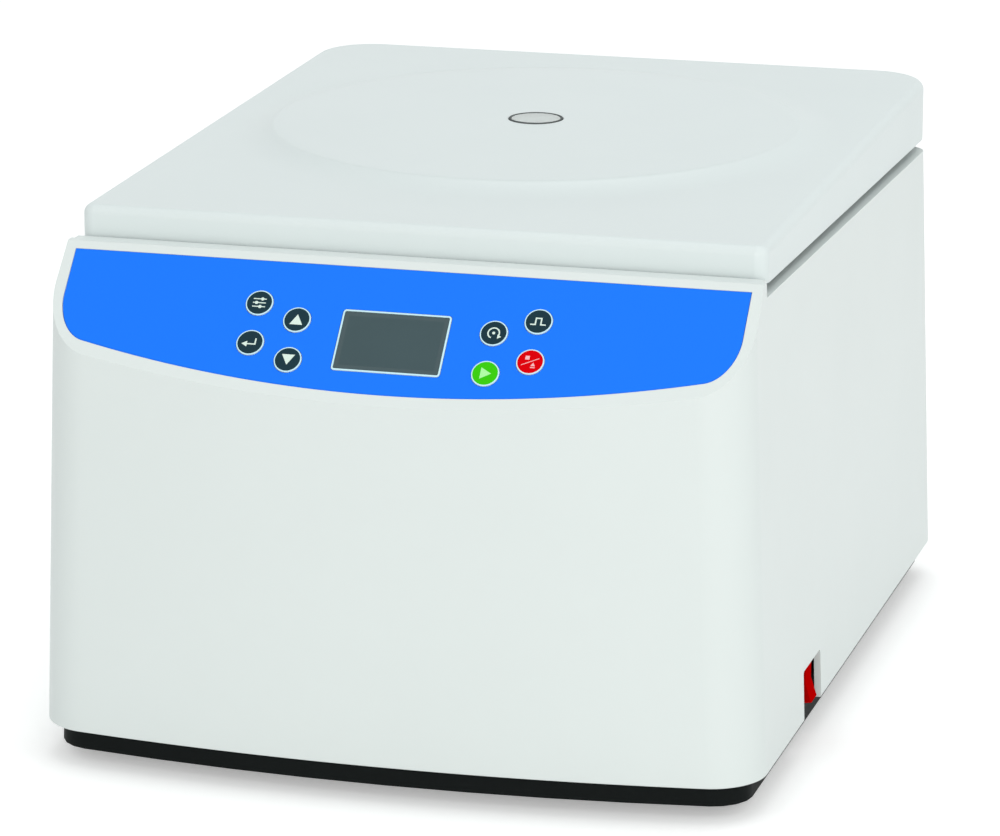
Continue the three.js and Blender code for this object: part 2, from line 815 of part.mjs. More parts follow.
// The socket has its two lower corners cut off, as every three-pin mains inlet has
function makeInlet() {
  const outerY = rearPanelOuterY + fit + inletFlange;
  const flangeShape = roundedRectangle(inletWidth, inletHeight, inletFlange, inletX, inletZ);
  const flange = uprightPlate(flangeShape, rearPanelOuterY + fit, outerY, cornerSteps);
  const body = block(
    inletX - inletBodyWidth / 2, inletX + inletBodyWidth / 2, outerY - inletBodyDepth, outerY - fit,
    inletZ - inletBodyHeight / 2, inletZ + inletBodyHeight / 2,
  );
  const w = inletSocketWidth / 2;
  const h = inletSocketHeight / 2;
  const key = inletSocketKey;
  const floorY = outerY - inletSocketDepth;
  const socketShape = polygon([
    [-w + key, -h], [w - key, -h], [w, -h + key], [w, h], [-w, h], [-w, -h + key],
  ]);
  const socket = uprightPlate(socketShape, floorY, outerY + overrun).translate(inletX, 0, inletZ);
  const pins = [-1, 0, 1].map((place) => {
    const x = inletX + place * inletPinPitch;
    const z = inletZ + (place === 0 ? inletPinHeight / 2 : 0);
    return block(
      x - inletPinWidth / 2, x + inletPinWidth / 2, floorY - fit, floorY + inletPinLength,
      z - inletPinHeight / 2, z + inletPinHeight / 2,
    );
  });
  return join(cut(join(flange, body), socket), ...pins);
}

function makeFuseHolder() {
  const headY = rearPanelOuterY + fit;
  const headTop = headY + fuseHeadLength;
  const head = plug(fuseRadius, headY, headTop, fuseX, inletZ);
  const body = plug(fuseBodyRadius, headY - fuseDepth, headY + fit, fuseX, inletZ);
  const groove = block(
    fuseX - fuseRadius, fuseX + fuseRadius, headTop - fuseGrooveHalf, headTop + overrun,
    inletZ - fuseGrooveHalf, inletZ + fuseGrooveHalf,
  );
  return cut(join(head, body), groove);
}

// Fan: a square frame with crossed struts that hold the axle, and a bladed wheel
function makeFanFrame() {
  const boreRadius = fanWheelRadius + fanTipGap;
  const square = roundedRectangle(fanSize, fanSize, fanCornerRadius, fanX, fanZ);
  const frame = cut(
    uprightPlate(square, fanInnerY, fanOuterY, cornerSteps),
    plug(boreRadius, fanInnerY - overrun, fanOuterY + overrun, fanX, fanZ, mediumSegments),
  );
  const hub = plug(fanHubRadius, fanInnerY, fanInnerY + fanStrutDepth, fanX, fanZ);
  const axle = plug(fanAxleRadius, fanInnerY, fanOuterY - fanAxleGap, fanX, fanZ, stemSegments);
  const reach = boreRadius + fanRingWall / 2;
  const struts = [1, 3].map((quarter) => {
    const strut = block(
      -reach, reach, fanInnerY, fanInnerY + fanStrutDepth, -fanStrutWidth / 2, fanStrutWidth / 2,
    );
    return strut.rotateY(quarter * Math.PI / 4).translate(fanX, 0, fanZ);
  });
  return join(frame, hub, axle, ...struts);
}

function makeFanWheel() {
  const y0 = fanInnerY + fanStrutDepth + 2 * fit;
  const y1 = fanOuterY - fanStrutDepth;
  const axleEnd = fanOuterY - fanAxleGap;
  const hubBlank = plug(fanHubRadius, y0, y1, 0, 0);
  const hub = cut(hubBlank, plug(fanAxleRadius + fit, y0 - overrun, axleEnd + fit, 0, 0, stemSegments));
  const chord = (y1 - y0 - 2 * fit) / Math.sin(fanBladePitch) - fanBladeThickness;
  const blades = Array.from({ length: fanBladeCount }, (_, i) => {
    const blade = block(
      fanHubRadius - fanBladeThickness, fanWheelRadius, -chord / 2, chord / 2,
      -fanBladeThickness / 2, fanBladeThickness / 2,
    );
    const turn = i * 2 * Math.PI / fanBladeCount;
    return blade.rotateX(fanBladePitch).translate(0, (y0 + y1) / 2, 0).rotateY(turn);
  });
  const sweep = plug(fanWheelRadius, y0 + fit, y1 - fit, 0, 0, mediumSegments);
  return common(join(hub, ...blades), join(sweep, hubBlank));
}

// Base tray with the switch bracket and the posts of the drive board
const driveBoardX = -casingWidth / 2 + driveBoardInset + driveBoardWidth / 2;
const driveBoardY = frontY + driveBoardSetback + driveBoardDepth / 2;
const driveBoardBottom = trayFloorTop + driveBoardRise;
const footPlaces = [-1, 1].flatMap((side) => [
  { x: side * (casingWidth / 2 - footInset), y: frontY + frontBow + footInset },
  { x: side * (casingWidth / 2 - footInset), y: backY - footInset },
]);

function driveBoardPosts() {
  const x = driveBoardWidth / 2 - boardPostInset;
  const y = driveBoardDepth / 2 - boardPostInset;
  return [[-x, -y], [x, -y], [x, y], [-x, y]].map(([dx, dy]) => (
    drum(boardPostRadius, trayFloorTop - fit, driveBoardBottom - fit, stemSegments)
      .translate(driveBoardX + dx, driveBoardY + dy, 0)
  ));
}

function makeBaseTray() {
  const skirt = casingBlock(baseRecess, footHeight, casingBottom + fit * 2);
  const flange = casingBlock(casingWall + fit, casingBottom + fit, trayTop);
  const well = casingBlock(baseRecess + trayWall, trayFloorTop, trayTop + overrun);
  const notchClear = block(
    bracketX - switchDepth - overrun, beyondSide, notchFront - fit, notchBack + fit,
    casingBottom - fit, trayTop + overrun,
  );
  const bracketWidth = rockerWidth / 2 + bracketMargin;
  const bracket = block(
    bracketX - bracketThickness, bracketX, switchY - bracketWidth, switchY + bracketWidth,
    trayFloorTop - trayFloor / 2, switchZ + rockerHeight / 2 + bracketMargin,
  );
  const bracketHole = block(
    bracketX - overrun, bracketX + overrun, switchY - switchHalfY - fit, switchY + switchHalfY + fit,
    switchZ - switchHalfZ - fit, switchZ + switchHalfZ + fit,
  );
  const tray = cut(join(skirt, flange), well, notchClear);
  return cut(join(tray, bracket, ...driveBoardPosts()), bracketHole);
}

function makeFoot() {
  return revolve([
    [0, footRecess], [footRadius / 2, footRecess], [footRadius / 2 + footRecess, 0],
    [footRadius - footRecess, 0], [footRadius, footRecess], [footTopRadius, footHeight - fit],
    [0, footHeight - fit],
  ], footSegments);
}

// Drive board with a finned heat sink, two capacitors and a transformer
function makeDriveBoard() {
  const top = driveBoardBottom + boardThickness;
  const right = driveBoardWidth / 2 - driveBoardEdge;
  const rear = driveBoardDepth / 2 - driveBoardEdge;
  const board = block(
    -driveBoardWidth / 2, driveBoardWidth / 2, -driveBoardDepth / 2, driveBoardDepth / 2,
    driveBoardBottom, top,
  );
  const sinkBase = block(-right, -right + heatSinkWidth, 0, rear, top - fit, top + heatSinkBase);
  const finPitch = (heatSinkWidth - finThickness) / (heatSinkFins - 1);
  const fins = Array.from({ length: heatSinkFins }, (_, i) => {
    const x = -right + i * finPitch;
    return block(x, x + finThickness, 0, rear, top, top + heatSinkHeight);
  });
  const capacitors = [0, 1].map((place) => (
    drum(capacitorRadius, top - fit, top + heatSinkHeight, stemSegments).translate(
      right - capacitorRadius,
      rear - capacitorRadius - place * (2 * capacitorRadius + capacitorGap),
      0,
    )
  ));
  const transformer = block(
    -transformerWidth / 2, transformerWidth / 2, -rear, -rear + transformerDepth,
    top - fit, top + transformerHeight,
  );
  const parts = [sinkBase, ...fins, ...capacitors, transformer];
  return join(board, ...parts).translate(driveBoardX, driveBoardY, 0);
}

// Switch body with its well for the rocker
function makeSwitchBody() {
  const body = block(
    bracketX - switchDepth, bezelX - fit, switchY - switchHalfY, switchY + switchHalfY,
    switchZ - switchHalfZ, switchZ + switchHalfZ,
  );
  const rimHalfY = switchHalfY + bezelLip;
  const rimHalfZ = switchHalfZ + bezelLip;
  const rim = block(
    bezelX - bezelThickness, bezelX, switchY - rimHalfY, switchY + rimHalfY,
    switchZ - rimHalfZ, switchZ + rimHalfZ,
  );
  const well = block(
    bezelX - switchWellDepth, bezelX + overrun, switchY - rockerWidth / 2, switchY + rockerWidth / 2,
    switchZ - rockerHeight / 2, switchZ + rockerHeight / 2,
  );
  const rearX = bracketX - switchDepth;
  const terminals = [-1, 0, 1].map((place) => {
    const z = switchZ + place * terminalPitch;
    return block(
      rearX - terminalWidth, rearX + fit, switchY - terminalWidth / 2, switchY + terminalWidth / 2,
      z - terminalThickness / 2, z + terminalThickness / 2,
    );
  });
  return join(cut(join(body, rim), well), ...terminals);
}

// The rocker's side view is a shallow V that turns about a pivot behind its face
function makeRocker() {
  const half = rockerHeight / 2 - rockerEndGap;
  const proudEdge = casingWidth / 2 - bezelX + rockerPivotDepth;
  const reach = (proudEdge - 2 * half * Math.sin(rockerTilt)) / Math.cos(rockerTilt);
  const wing = half * Math.tan(rockerTilt);
  const root = reach - rockerPivotDepth;
  const side = polygon([
    [reach + wing, -half], [reach, 0], [reach + wing, half], [root, half],
    [-fit, rockerPivotDepth / 2], [-rockerPivotDepth / 2, 0], [-fit, -rockerPivotDepth / 2], [root, -half],
  ]);
  return uprightPlate(side, -rockerWidth / 2 + fit, rockerWidth / 2 - fit);
}

// Top deck, chamber bowl and seal
function makeDeck() {
  const sheet = cut(
    casingBlock(casingWall + fit, deckBottom, deckTop),
    block(-beyondSide, beyondSide, frontY - overrun, rimBackY - deckFrontLap, 0, rimZ),
  );
  const mouth = drum(chamberRadius + bowlSheet + fit, deckBottom - overrun, deckTop + overrun, roundSegments);
  const lockSlot = block(-lockSlotHalfWidth, lockSlotHalfWidth, lockSlotFront, lockSlotBack, 0, rimZ);
  return cut(sheet, mouth.translate(0, chamberY, 0), lockSlot);
}

function makeBowl() {
  const cornerX = chamberRadius - bowlCorner;
  const cornerZ = bowlFloor + bowlCorner;
  const arc = (radius) => Array.from({ length: bowlCornerSteps + 1 }, (_, step) => {
    const angle = (Math.PI / 2) * step / bowlCornerSteps;
    return [cornerX + radius * Math.sin(angle), cornerZ - radius * Math.cos(angle)];
  });
  return revolveRing([
    [bowlHole, bowlFloor - bowlSheet],
    ...arc(bowlCorner + bowlSheet),
    [chamberRadius + bowlSheet, deckTop + fit],
    [chamberRadius + bowlFlange, deckTop + fit],
    [chamberRadius + bowlFlange, bowlFlangeTop],
    [chamberRadius, bowlFlangeTop],
    ...arc(bowlCorner).reverse(),
    [bowlHole, bowlFloor],
  ], roundSegments);
}

function makeChamberSeal() {
  const inner = chamberRadius + fit * 2;
  const outer = inner + sealWidth;
  const lip = sealWidth / 4;
  const shoulder = sealBottom + sealHeight / 2;
  return revolveRing([
    [inner, sealBottom], [outer, sealBottom], [outer, shoulder],
    [outer - lip, sealTop], [inner + lip, sealTop], [inner, shoulder],
  ], roundSegments);
}

// Motor plate: round windows between the mounts let the cooling air through
function mountPlaces(turn = 0) {
  return Array.from({ length: mountCount }, (_, i) => {
    const angle = turn + Math.PI / 2 + i * 2 * Math.PI / mountCount;
    return { x: mountCircleRadius * Math.cos(angle), y: mountCircleRadius * Math.sin(angle) };
  });
}

function makeMotorPlate() {
  const hole = (radius, { x, y }, segments) => (
    drum(radius, motorPlateBottom - overrun, motorPlateTop + overrun, segments).translate(x, y, 0)
  );
  const betweenMounts = Math.PI / mountCount;
  return cut(
    drum(motorPlateRadius, motorPlateBottom, motorPlateTop, roundSegments),
    ...mountPlaces().map((place) => hole(mountStudRadius + fit, place, stemSegments)),
    ...mountPlaces(betweenMounts).map((place) => hole(airWindowRadius, place, smallSegments)),
  );
}

function makeRubberMount() {
  const lip = (mountRadius - mountWaistRadius) / 2;
  const studTop = motorPlateTop + mountStudRadius / 2;
  return revolve([
    [0, mountBottom], [mountRadius, mountBottom], [mountRadius, mountBottom + lip],
    [mountWaistRadius, (mountBottom + mountTop) / 2], [mountRadius, mountTop - lip], [mountRadius, mountTop],
    [mountStudRadius, mountTop], [mountStudRadius, studTop], [0, studTop],
  ], stemSegments);
}

function makeMotor() {
  const capBottom = motorTop - motorCapHeight;
  const bossTop = motorTop + motorBossHeight;
  const body = revolve([
    [0, motorBottom], [motorRadius + motorFlange, motorBottom],
    [motorRadius + motorFlange, motorBottom + motorFlange], [motorRadius, motorBottom + motorFlange],
    [motorRadius, capBottom], [motorRadius + motorRib, capBottom],
    [motorRadius + motorRib, motorTop - motorFlange], [motorRadius - motorFlange, motorTop],
    [motorBossRadius, motorTop], [motorBossRadius, bossTop], [0, bossTop],
  ], mediumSegments);
  return cut(body, drum(shaftRadius + fit, motorTop - shaftBiteDepth - fit, bossTop + overrun));
}

function makeShaft() {
  const shoulderBottom = motorTop + motorBossHeight + 2 * fit;
  const rotorSeat = rotorBottom - fit;
  return revolve([
    [0, motorTop - shaftBiteDepth], [shaftRadius, motorTop - shaftBiteDepth],
    [shaftRadius, shoulderBottom - fit], [shaftShoulderRadius, shoulderBottom],
    [shaftShoulderRadius, rotorSeat], [shaftRadius, rotorSeat],
    [shaftRadius, shaftTop - fit], [shaftRadius - fit, shaftTop], [0, shaftTop],
  ]);
}

function makeShaftSeal() {
  const outer = bowlHole - fit;
  const inner = shaftShoulderRadius + 2 * fit;
  const neck = (outer + inner) / 2;
  const foot = bowlFloor - bowlSheet * 3;
  return revolveRing([
    [inner, bowlFloor + bowlSheet], [inner, bowlFloor - bowlSheet], [neck, foot], [outer, foot],
    [outer, bowlFloor + bowlSheet], [neck, bowlFloor + bowlSheet * 2],
  ]);
}

// Fixed-angle rotor: the pockets lean inwards at the top, round a dish for the nut
function makeRotor() {
  const bore = shaftRadius + fit;
  const crownRadius = rotorRadius - crownInset;
  const dishRadius = pocketCircleRadius - pocketRadius / Math.cos(pocketAngle) - dishRim;
  const body = revolveRing([
    [bore, rotorBottom], [rotorRadius - rotorFlare, rotorBottom],
    [rotorRadius - rotorEdge, rotorBottom + rotorShoulder / 2], [rotorRadius, rotorBottom + rotorShoulder],
    [crownRadius + crownBevel, rotorTop - crownBevel * 3 / 2], [crownRadius - crownBevel, rotorTop],
    [dishRadius, rotorTop], [dishRadius - dishSlope, hubTop], [bore, hubTop],
  ], roundSegments);
  const pockets = aroundAxis(pocketCount, () => (
    drum(pocketRadius, -pocketDepth, pocketRadius * 2)
      .rotateY(-pocketAngle).translate(pocketCircleRadius, 0, rotorTop)
  ), Math.PI / pocketCount);
  return cut(body, ...pockets);
}

function makeRotorNut() {
  const bottom = hubTop + fit;
  const flangeTop = bottom + nutRoof;
  const grip = nutRadius - nutFluteRadius;
  const body = revolve([
    [0, bottom], [nutRadius, bottom], [nutRadius, flangeTop], [grip, flangeTop + fit],
    [grip, nutTop - nutFluteRadius], [grip - nutFluteRadius, nutTop], [0, nutTop],
  ]);
  const flutes = aroundAxis(nutFluteCount, () => (
    drum(nutFluteRadius, flangeTop + fit, nutTop + overrun, stemSegments)
      .translate(grip + nutFluteRadius / 3, 0, 0)
  ));
  return cut(body, drum(shaftRadius + fit, bottom - overrun, shaftTop + fit), ...flutes);
}

// Lid shell, liner and sight glass
function lidOutline(inset) {
  return planOutline({
    halfWidth: lidWidth / 2 - inset,
    front: lidFrontY + inset,
    back: lidBackY - inset,
    frontRadius: Math.max(lidFrontCornerRadius - inset, fit),
    backRadius: Math.max(lidBackCornerRadius - inset, fit),
    bow: 0,
    frontSteps: lidFrontCornerSteps,
    backSteps: lidBackCornerSteps,
    faceSteps: 1,
  });
}

function lidBottomAt(y) {
  return sideTopAt(y) + lidSkirtGap;
}

// The dome's flank rises in an S from its foot to the rim of a shallow crown
function domeSolid(drop, flankSteps, crownSteps, segments) {
  const foot = lidTop - lidEdgeRadius - drop;
  const profile = [[0, foot], [domeFoot - drop, foot]];
  for (let step = 0; step <= flankSteps; step += 1) {
    const share = step / flankSteps;
    const radius = THREE.MathUtils.lerp(domeFoot, domeRadius, share) - drop;
    profile.push([radius, lidTop - drop + domeRimHeight * THREE.MathUtils.smoothstep(share, 0, 1)]);
  }
  for (let step = 1; step <= crownSteps; step += 1) {
    const share = 1 - step / crownSteps;
    profile.push([(domeRadius - drop) * share, domeTop - drop - domeCrown * share * share]);
  }
  return revolve(profile, segments).translate(0, chamberY, 0);
}

function makeLidShell() {
  const skirtLow = lidBottomAt(lidBackY) - overrun;
  const rings = [{ points: lidOutline(0), z: skirtLow }];
  for (let step = 0; step <= lidEdgeSteps; step += 1) {
    const angle = (Math.PI / 2) * step / lidEdgeSteps;
    const inset = lidEdgeRadius * (1 - Math.cos(angle));
    rings.push({ points: lidOutline(inset), z: lidTop - lidEdgeRadius * (1 - Math.sin(angle)) });
  }
  const outside = join(loft(rings), domeSolid(0, domeFlankSteps, domeCrownSteps, domeSegments));
  const levels = [skirtLow - overrun, lidTop - lidWall];
  const pocket = loft(levels.map((z) => ({ points: lidOutline(lidWall), z })));
  const inside = join(pocket, domeSolid(lidWall, domeFlankSteps / 2, domeCrownSteps, domeSegments / 2));
  const below = sidePlate(polygon([
    [lidFrontY - overrun, skirtLow - 2 * overrun],
    [lidBackY + overrun, skirtLow - 2 * overrun],
    [lidBackY + overrun, lidBottomAt(lidBackY + overrun)],
    [lidFrontY - overrun, lidBottomAt(lidFrontY - overrun)],
  ]), -beyondSide, beyondSide);
  const sight = drum(sightRadius, lidTop - overrun, domeTop + overrun).translate(0, chamberY, 0);
  return cut(outside, inside, below, sight);
}

function makeLiner() {
  const inset = lidWall + fit;
  const sheet = cut(
    loft([linerPlateBottom, linerPlateTop].map((z) => ({ points: lidOutline(inset), z }))),
    block(-beyondSide, beyondSide, hingeY - linerHingeGap, lidBackY + overrun, 0, lidTop),
  );
  const boss = revolve([
    [0, linerBossBottom], [linerBossRadius - linerBossTaper, linerBossBottom],
    [linerBossRadius, linerBossBottom + linerBossTaper], [linerBossRadius, linerPlateTop], [0, linerPlateTop],
  ], roundSegments);
  const pan = drum(linerBossRadius - linerSheet, linerBossBottom + linerSheet, lidTop, roundSegments);
  const tube = drum(sightRadius + sightTubeWall, linerBossBottom + fit, lensBottom - fit);
  const bore = drum(sightRadius, linerBossBottom - overrun, domeTop);
  const round = [boss, pan, tube, bore].map((geometry) => geometry.translate(0, chamberY, 0));
  return cut(join(cut(join(sheet, round[0]), round[1]), round[2]), round[3]);
}

function makeSightGlass() {
  const shoulder = lensTop - lensCrown;
  return revolve([
    [0, lensBottom], [lensRadius, lensBottom], [lensRadius, shoulder], [sightRadius - fit, shoulder],
    [sightRadius - fit - lensCrown, lensTop], [0, lensTop],
  ]).translate(0, chamberY, 0);
}

// Hinges: a fixed leaf with two knuckles, a lid leaf with one between them, and a headed pin
const hingeZ = sideTopAt(backY) + hingeRise;

function hingeBore() {
  return barrel(hingePinRadius + fit, -hingeWidth, hingeWidth, hingeY, hingeZ);
}

function makeFixedLeaf() {
  const half = hingeWidth / 2;
  const y0 = backY + fit;
  const leafTop = hingeZ - leafTopDrop;
  const leaf = block(-half, half, y0, y0 + leafThickness, rearOpeningHigh + leafLowGap, leafTop);
  const arm = block(-half, half, y0, hingeY + leafThickness / 2, hingeZ - knuckleRadius, leafTop);
  const knuckle = barrel(knuckleRadius, -half, half, hingeY, hingeZ);
  const gap = lidKnuckleWidth / 2 + fit;
  const reach = knuckleRadius + 2 * fit;
  const middle = block(-gap, gap, y0 + leafThickness, hingeY + reach, hingeZ - reach, hingeZ + reach);
  const roundGap = barrel(reach, -gap, gap, hingeY, hingeZ);
  return cut(join(leaf, arm, knuckle), middle, roundGap, hingeBore());
}

function makeLidLeaf() {
  const half = lidKnuckleWidth / 2;
  const top = lidTop - lidWall - fit;
  const rearY = hingeY + leafThickness / 2;
  const knuckle = barrel(knuckleRadius, -half, half, hingeY, hingeZ);
  const riser = block(-half, half, rearY - leafThickness, rearY, hingeZ, top);
  const flange = block(
    -hingeWidth / 2, hingeWidth / 2, hingeY - lidLeafReach, rearY, top - leafThickness, top,
  );
  return cut(join(knuckle, riser, flange), hingeBore());
}

function makeHingePin() {
  const headStart = hingeWidth / 2 + fit;
  const headEnd = headStart + pinHead;
  return join(
    barrel(hingePinRadius, -hingeWidth / 2, headEnd - pinHead / 2, hingeY, hingeZ, stemSegments),
    barrel(hingePinRadius + pinHead, headStart, headEnd, hingeY, hingeZ, stemSegments),
  );
}

// Striker loop, lock body with its solenoid, and the hook
const lockHalfWidth = lockSlotHalfWidth + lockSideLap;
const lockTop = deckBottom - fit;
const lockBottom = lockTop - lockHeight;
const strikerZ = deckTop - strikerDrop;
const hookPivotY = lockY + hookPivotBack;
const hookPivotZ = strikerZ - hookPivotDrop;

function makeStriker() {
  const top = linerPlateBottom - fit;
  const baseHalf = strikerHalfWidth + 2 * strikerRadius;
  const base = block(
    -baseHalf, baseHalf, lockY - strikerHalfWidth, lockY + strikerHalfWidth, top - strikerPlate, top,
  );
  const legs = [-1, 1].map((side) => (
    drum(strikerRadius, strikerZ, top - fit, stemSegments).translate(side * strikerHalfWidth, lockY, 0)
  ));
  const reach = strikerHalfWidth + strikerRadius;
  return join(base, ...legs, barrel(strikerRadius, -reach, reach, lockY, strikerZ, stemSegments));
}

function makeLockBody() {
  const front = lockSlotFront - lockWall;
  const back = lockSlotBack + lockWall;
  const outer = block(-lockHalfWidth, lockHalfWidth, front, back, lockBottom, lockTop);
  const innerHalf = lockHalfWidth - lockWall;
  const inner = block(
    -innerHalf, innerHalf, lockSlotFront, lockSlotBack, lockBottom + lockFloor, lockTop + overrun,
  );
  const pinHalf = lockHalfWidth - fit;
  const pin = barrel(hookPivotRadius, -pinHalf, pinHalf, hookPivotY, hookPivotZ, stemSegments);
  const solenoidLength = lockBowlGap + bowlFlange - bowlSheet - solenoidBowlGap;
  const solenoidZ = lockBottom + solenoidRadius + fit;
  const solenoid = plug(solenoidRadius, back - fit, back + solenoidLength, 0, solenoidZ);
  return join(cut(outer, inner), pin, solenoid);
}

// The hook is drawn locked, about its pivot, and rests released
function makeHook() {
  const noseZ = strikerZ + strikerRadius + hookPlay - hookPivotZ;
  const tipY = -hookPivotBack - strikerRadius / 2;
  const outline = polygon([
    [-hookArm / 2, 0], [hookArm / 2, 0], [hookArm / 2, noseZ + hookNose],
    [tipY + hookNose / 2, noseZ + hookNose], [tipY, noseZ], [-hookArm / 2, noseZ],
  ]);
  const arm = sidePlate(outline, -hookThickness / 2, hookThickness / 2);
  const hub = barrel(hookHubRadius, -hookThickness / 2, hookThickness / 2, 0, 0);
  const bore = barrel(hookPivotRadius + fit, -hookThickness, hookThickness, 0, 0, stemSegments);
  return cut(join(arm, hub), bore);
}

// Control panel pieces
function makeOverlay() {
  return cut(
    overlaySlab(0, overlayUnderside, overlayProud),
    displayBlock(fit, -overrun, overrun),
    ...keys.map((key) => keyHole(key, keyRadius + fit, -overrun, overrun)),
  );
}

function makeDisplayFrame() {
  return cut(
    displayBlock(0, overlayUnderside, displayFrameProud),
    displayBlock(-displayFrameWidth, overlayUnderside - overrun, overrun),
  );
}

function makeDisplayWindow() {
  return displayBlock(-displayFrameWidth - fit, overlayUnderside, 0);
}

function makeDisplayModule() {
  return displayBlock(0, fit - boardGap, overlayUnderside - moduleHeadGap, moduleWidth, moduleHeight);
}

function makeKey() {
  const capBottom = keyProud - keyThickness;
  const stemEnd = keyTravel + 2 * fit - boardGap;
  return revolve([
    [0, stemEnd], [keyStemRadius, stemEnd], [keyStemRadius, capBottom], [keyRadius, capBottom],
    [keyRadius, keyProud], [0, keyProud],
  ]);
}

// Assembly
addPiece('outer_casing', makeCasing(), paintedShell);
addPiece('base_tray', makeBaseTray(), blackPlastic);
addPiece('rear_panel', makeRearPanel(), sheetPaint);
footPlaces.forEach(({ x, y }, i) => {
  addPiece(`rubber_foot_${i + 1}`, makeFoot(), blackRubber).position.set(x, y, 0);
});

addPiece('control_overlay', offPanel(makeOverlay()), overlayBlue, panelFrame);
addPiece('display_frame', offPanel(makeDisplayFrame()), paleFrame, panelFrame);
addPiece('display_window', offPanel(makeDisplayWindow()), displayGrey, panelFrame);
addPiece('display_module', offPanel(makeDisplayModule()), blackPlastic, panelFrame);
addPiece('control_board', block(
  -boardHalfWidth, boardHalfWidth, -boardFootDrop, -boardTopDrop, -boardGap - boardThickness, -boardGap,
), boardGreen, panelFrame);
for (const key of keys) {
  addPiece(key.name, makeKey(), key.material, panelFrame).position.set(key.x, -key.drop, 0);
}

addPiece('top_deck', makeDeck(), paintedShell);
const chamber = new THREE.Group();
chamber.position.set(0, chamberY, 0);
centrifuge.add(chamber);
addPiece('chamber_bowl', makeBowl(), stainless, chamber);
addPiece('chamber_seal', makeChamberSeal(), greyRubber, chamber);
addPiece('motor_plate', makeMotorPlate(), zincSteel, chamber);
mountPlaces().forEach(({ x, y }, i) => {
  addPiece(`rubber_mount_${i + 1}`, makeRubberMount(), blackRubber, chamber).position.set(x, y, 0);
});
addPiece('motor_body', makeMotor(), anodised, chamber);
addPiece('drive_shaft', makeShaft(), zincSteel, chamber);
addPiece('shaft_seal', makeShaftSeal(), greyRubber, chamber);
addPiece('rotor', makeRotor(), anodised, chamber);
addPiece('rotor_nut', makeRotorNut(), blackPlastic, chamber);

addPiece('lid_shell', makeLidShell(), lidPlastic);
addPiece('lid_liner', makeLiner(), lidPlastic);
addPiece('sight_glass', makeSightGlass(), clearGlass);
for (const [side, x] of [['left', -hingeX], ['right', hingeX]]) {
  addPiece(`hinge_leaf_fixed_${side}`, makeFixedLeaf(), zincSteel).position.x = x;
  addPiece(`hinge_leaf_lid_${side}`, makeLidLeaf(), zincSteel).position.x = x;
  addPiece(`hinge_pin_${side}`, makeHingePin(), zincSteel).position.x = x;
}
addPiece('lid_striker', makeStriker(), zincSteel);
addPiece('lock_body', makeLockBody(), blackPlastic);
const hook = addPiece('lock_hook', makeHook(), zincSteel);
hook.position.set(0, hookPivotY, hookPivotZ);
hook.rotation.x = -hookRelease;

addPiece('switch_body', makeSwitchBody(), blackPlastic);
const rocker = addPiece('power_rocker', makeRocker(), rockerRed);
rocker.position.set(bezelX - rockerPivotDepth, switchY, switchZ);
rocker.rotation.y = -rockerTilt;

addPiece('mains_inlet', makeInlet(), blackPlastic);
addPiece('fuse_holder', makeFuseHolder(), blackPlastic);
addPiece('fan_frame', makeFanFrame(), blackPlastic);
addPiece('fan_wheel', makeFanWheel(), blackPlastic).position.set(fanX, 0, fanZ);
addPiece('drive_board', makeDriveBoard(), boardGreen);

export default centrifuge;
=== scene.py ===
import json
import math

import bmesh
import bpy
from mathutils import Matrix, Vector


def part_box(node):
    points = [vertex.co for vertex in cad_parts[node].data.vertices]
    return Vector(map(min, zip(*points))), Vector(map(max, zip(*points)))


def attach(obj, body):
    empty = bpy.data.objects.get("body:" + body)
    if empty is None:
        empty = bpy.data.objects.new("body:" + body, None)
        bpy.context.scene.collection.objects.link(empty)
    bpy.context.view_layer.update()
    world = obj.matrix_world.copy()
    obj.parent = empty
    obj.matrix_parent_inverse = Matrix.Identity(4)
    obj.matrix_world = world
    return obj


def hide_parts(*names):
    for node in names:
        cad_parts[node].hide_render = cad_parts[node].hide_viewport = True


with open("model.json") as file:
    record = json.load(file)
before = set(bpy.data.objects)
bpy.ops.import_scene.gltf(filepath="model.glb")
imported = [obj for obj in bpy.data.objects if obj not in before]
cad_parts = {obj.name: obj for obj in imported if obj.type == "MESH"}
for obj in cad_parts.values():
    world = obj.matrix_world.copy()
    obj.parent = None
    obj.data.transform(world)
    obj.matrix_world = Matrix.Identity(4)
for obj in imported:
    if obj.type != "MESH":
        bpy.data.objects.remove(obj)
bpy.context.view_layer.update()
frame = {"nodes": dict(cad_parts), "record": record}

mm = 0.001
tolerance = 0.01 * mm  # points and heights nearer than this count as the same
weldDistance = 0.001 * mm  # doubles nearer than this are merged
planeDistance = 0.0001 * mm  # vertices nearer than this lie on a cutting plane
nodes = frame["nodes"]
record = frame["record"]
bodyOf = {node: body for body, members in record["behaviour"]["bodies"].items() for node in members}
slotOf = {row["node"]: row["material_slot"] for row in record["subparts"]}
colorOf = {row["slot"]: row["base_color"][:3] for row in record["materials"]}
chamberY = sum(corner.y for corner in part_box("chamber_bowl")) / 2


# Camera, in millimetres but for its clip distances in metres
camera = {
    "place": (701.51, -2543.68, 851.22),
    "target": (28.961, -131.03, 171.375),
    "lens": 181.38,
    "sensor": 36,
    "clip": (0.1, 50),
}


def pointAt(item, place, target):
    bpy.context.scene.collection.objects.link(item)
    item.location = place
    item.rotation_euler = (Vector(target) - Vector(place)).to_track_quat("-Z", "Y").to_euler()


cameraData = bpy.data.cameras.new("camera")
cameraData.lens = camera["lens"]
cameraData.sensor_width = camera["sensor"]
cameraData.clip_start, cameraData.clip_end = camera["clip"]
cameraObject = bpy.data.objects.new("camera", cameraData)
pointAt(cameraObject, Vector(camera["place"]) * mm, Vector(camera["target"]) * mm)
bpy.context.scene.camera = cameraObject
print("camera placed")


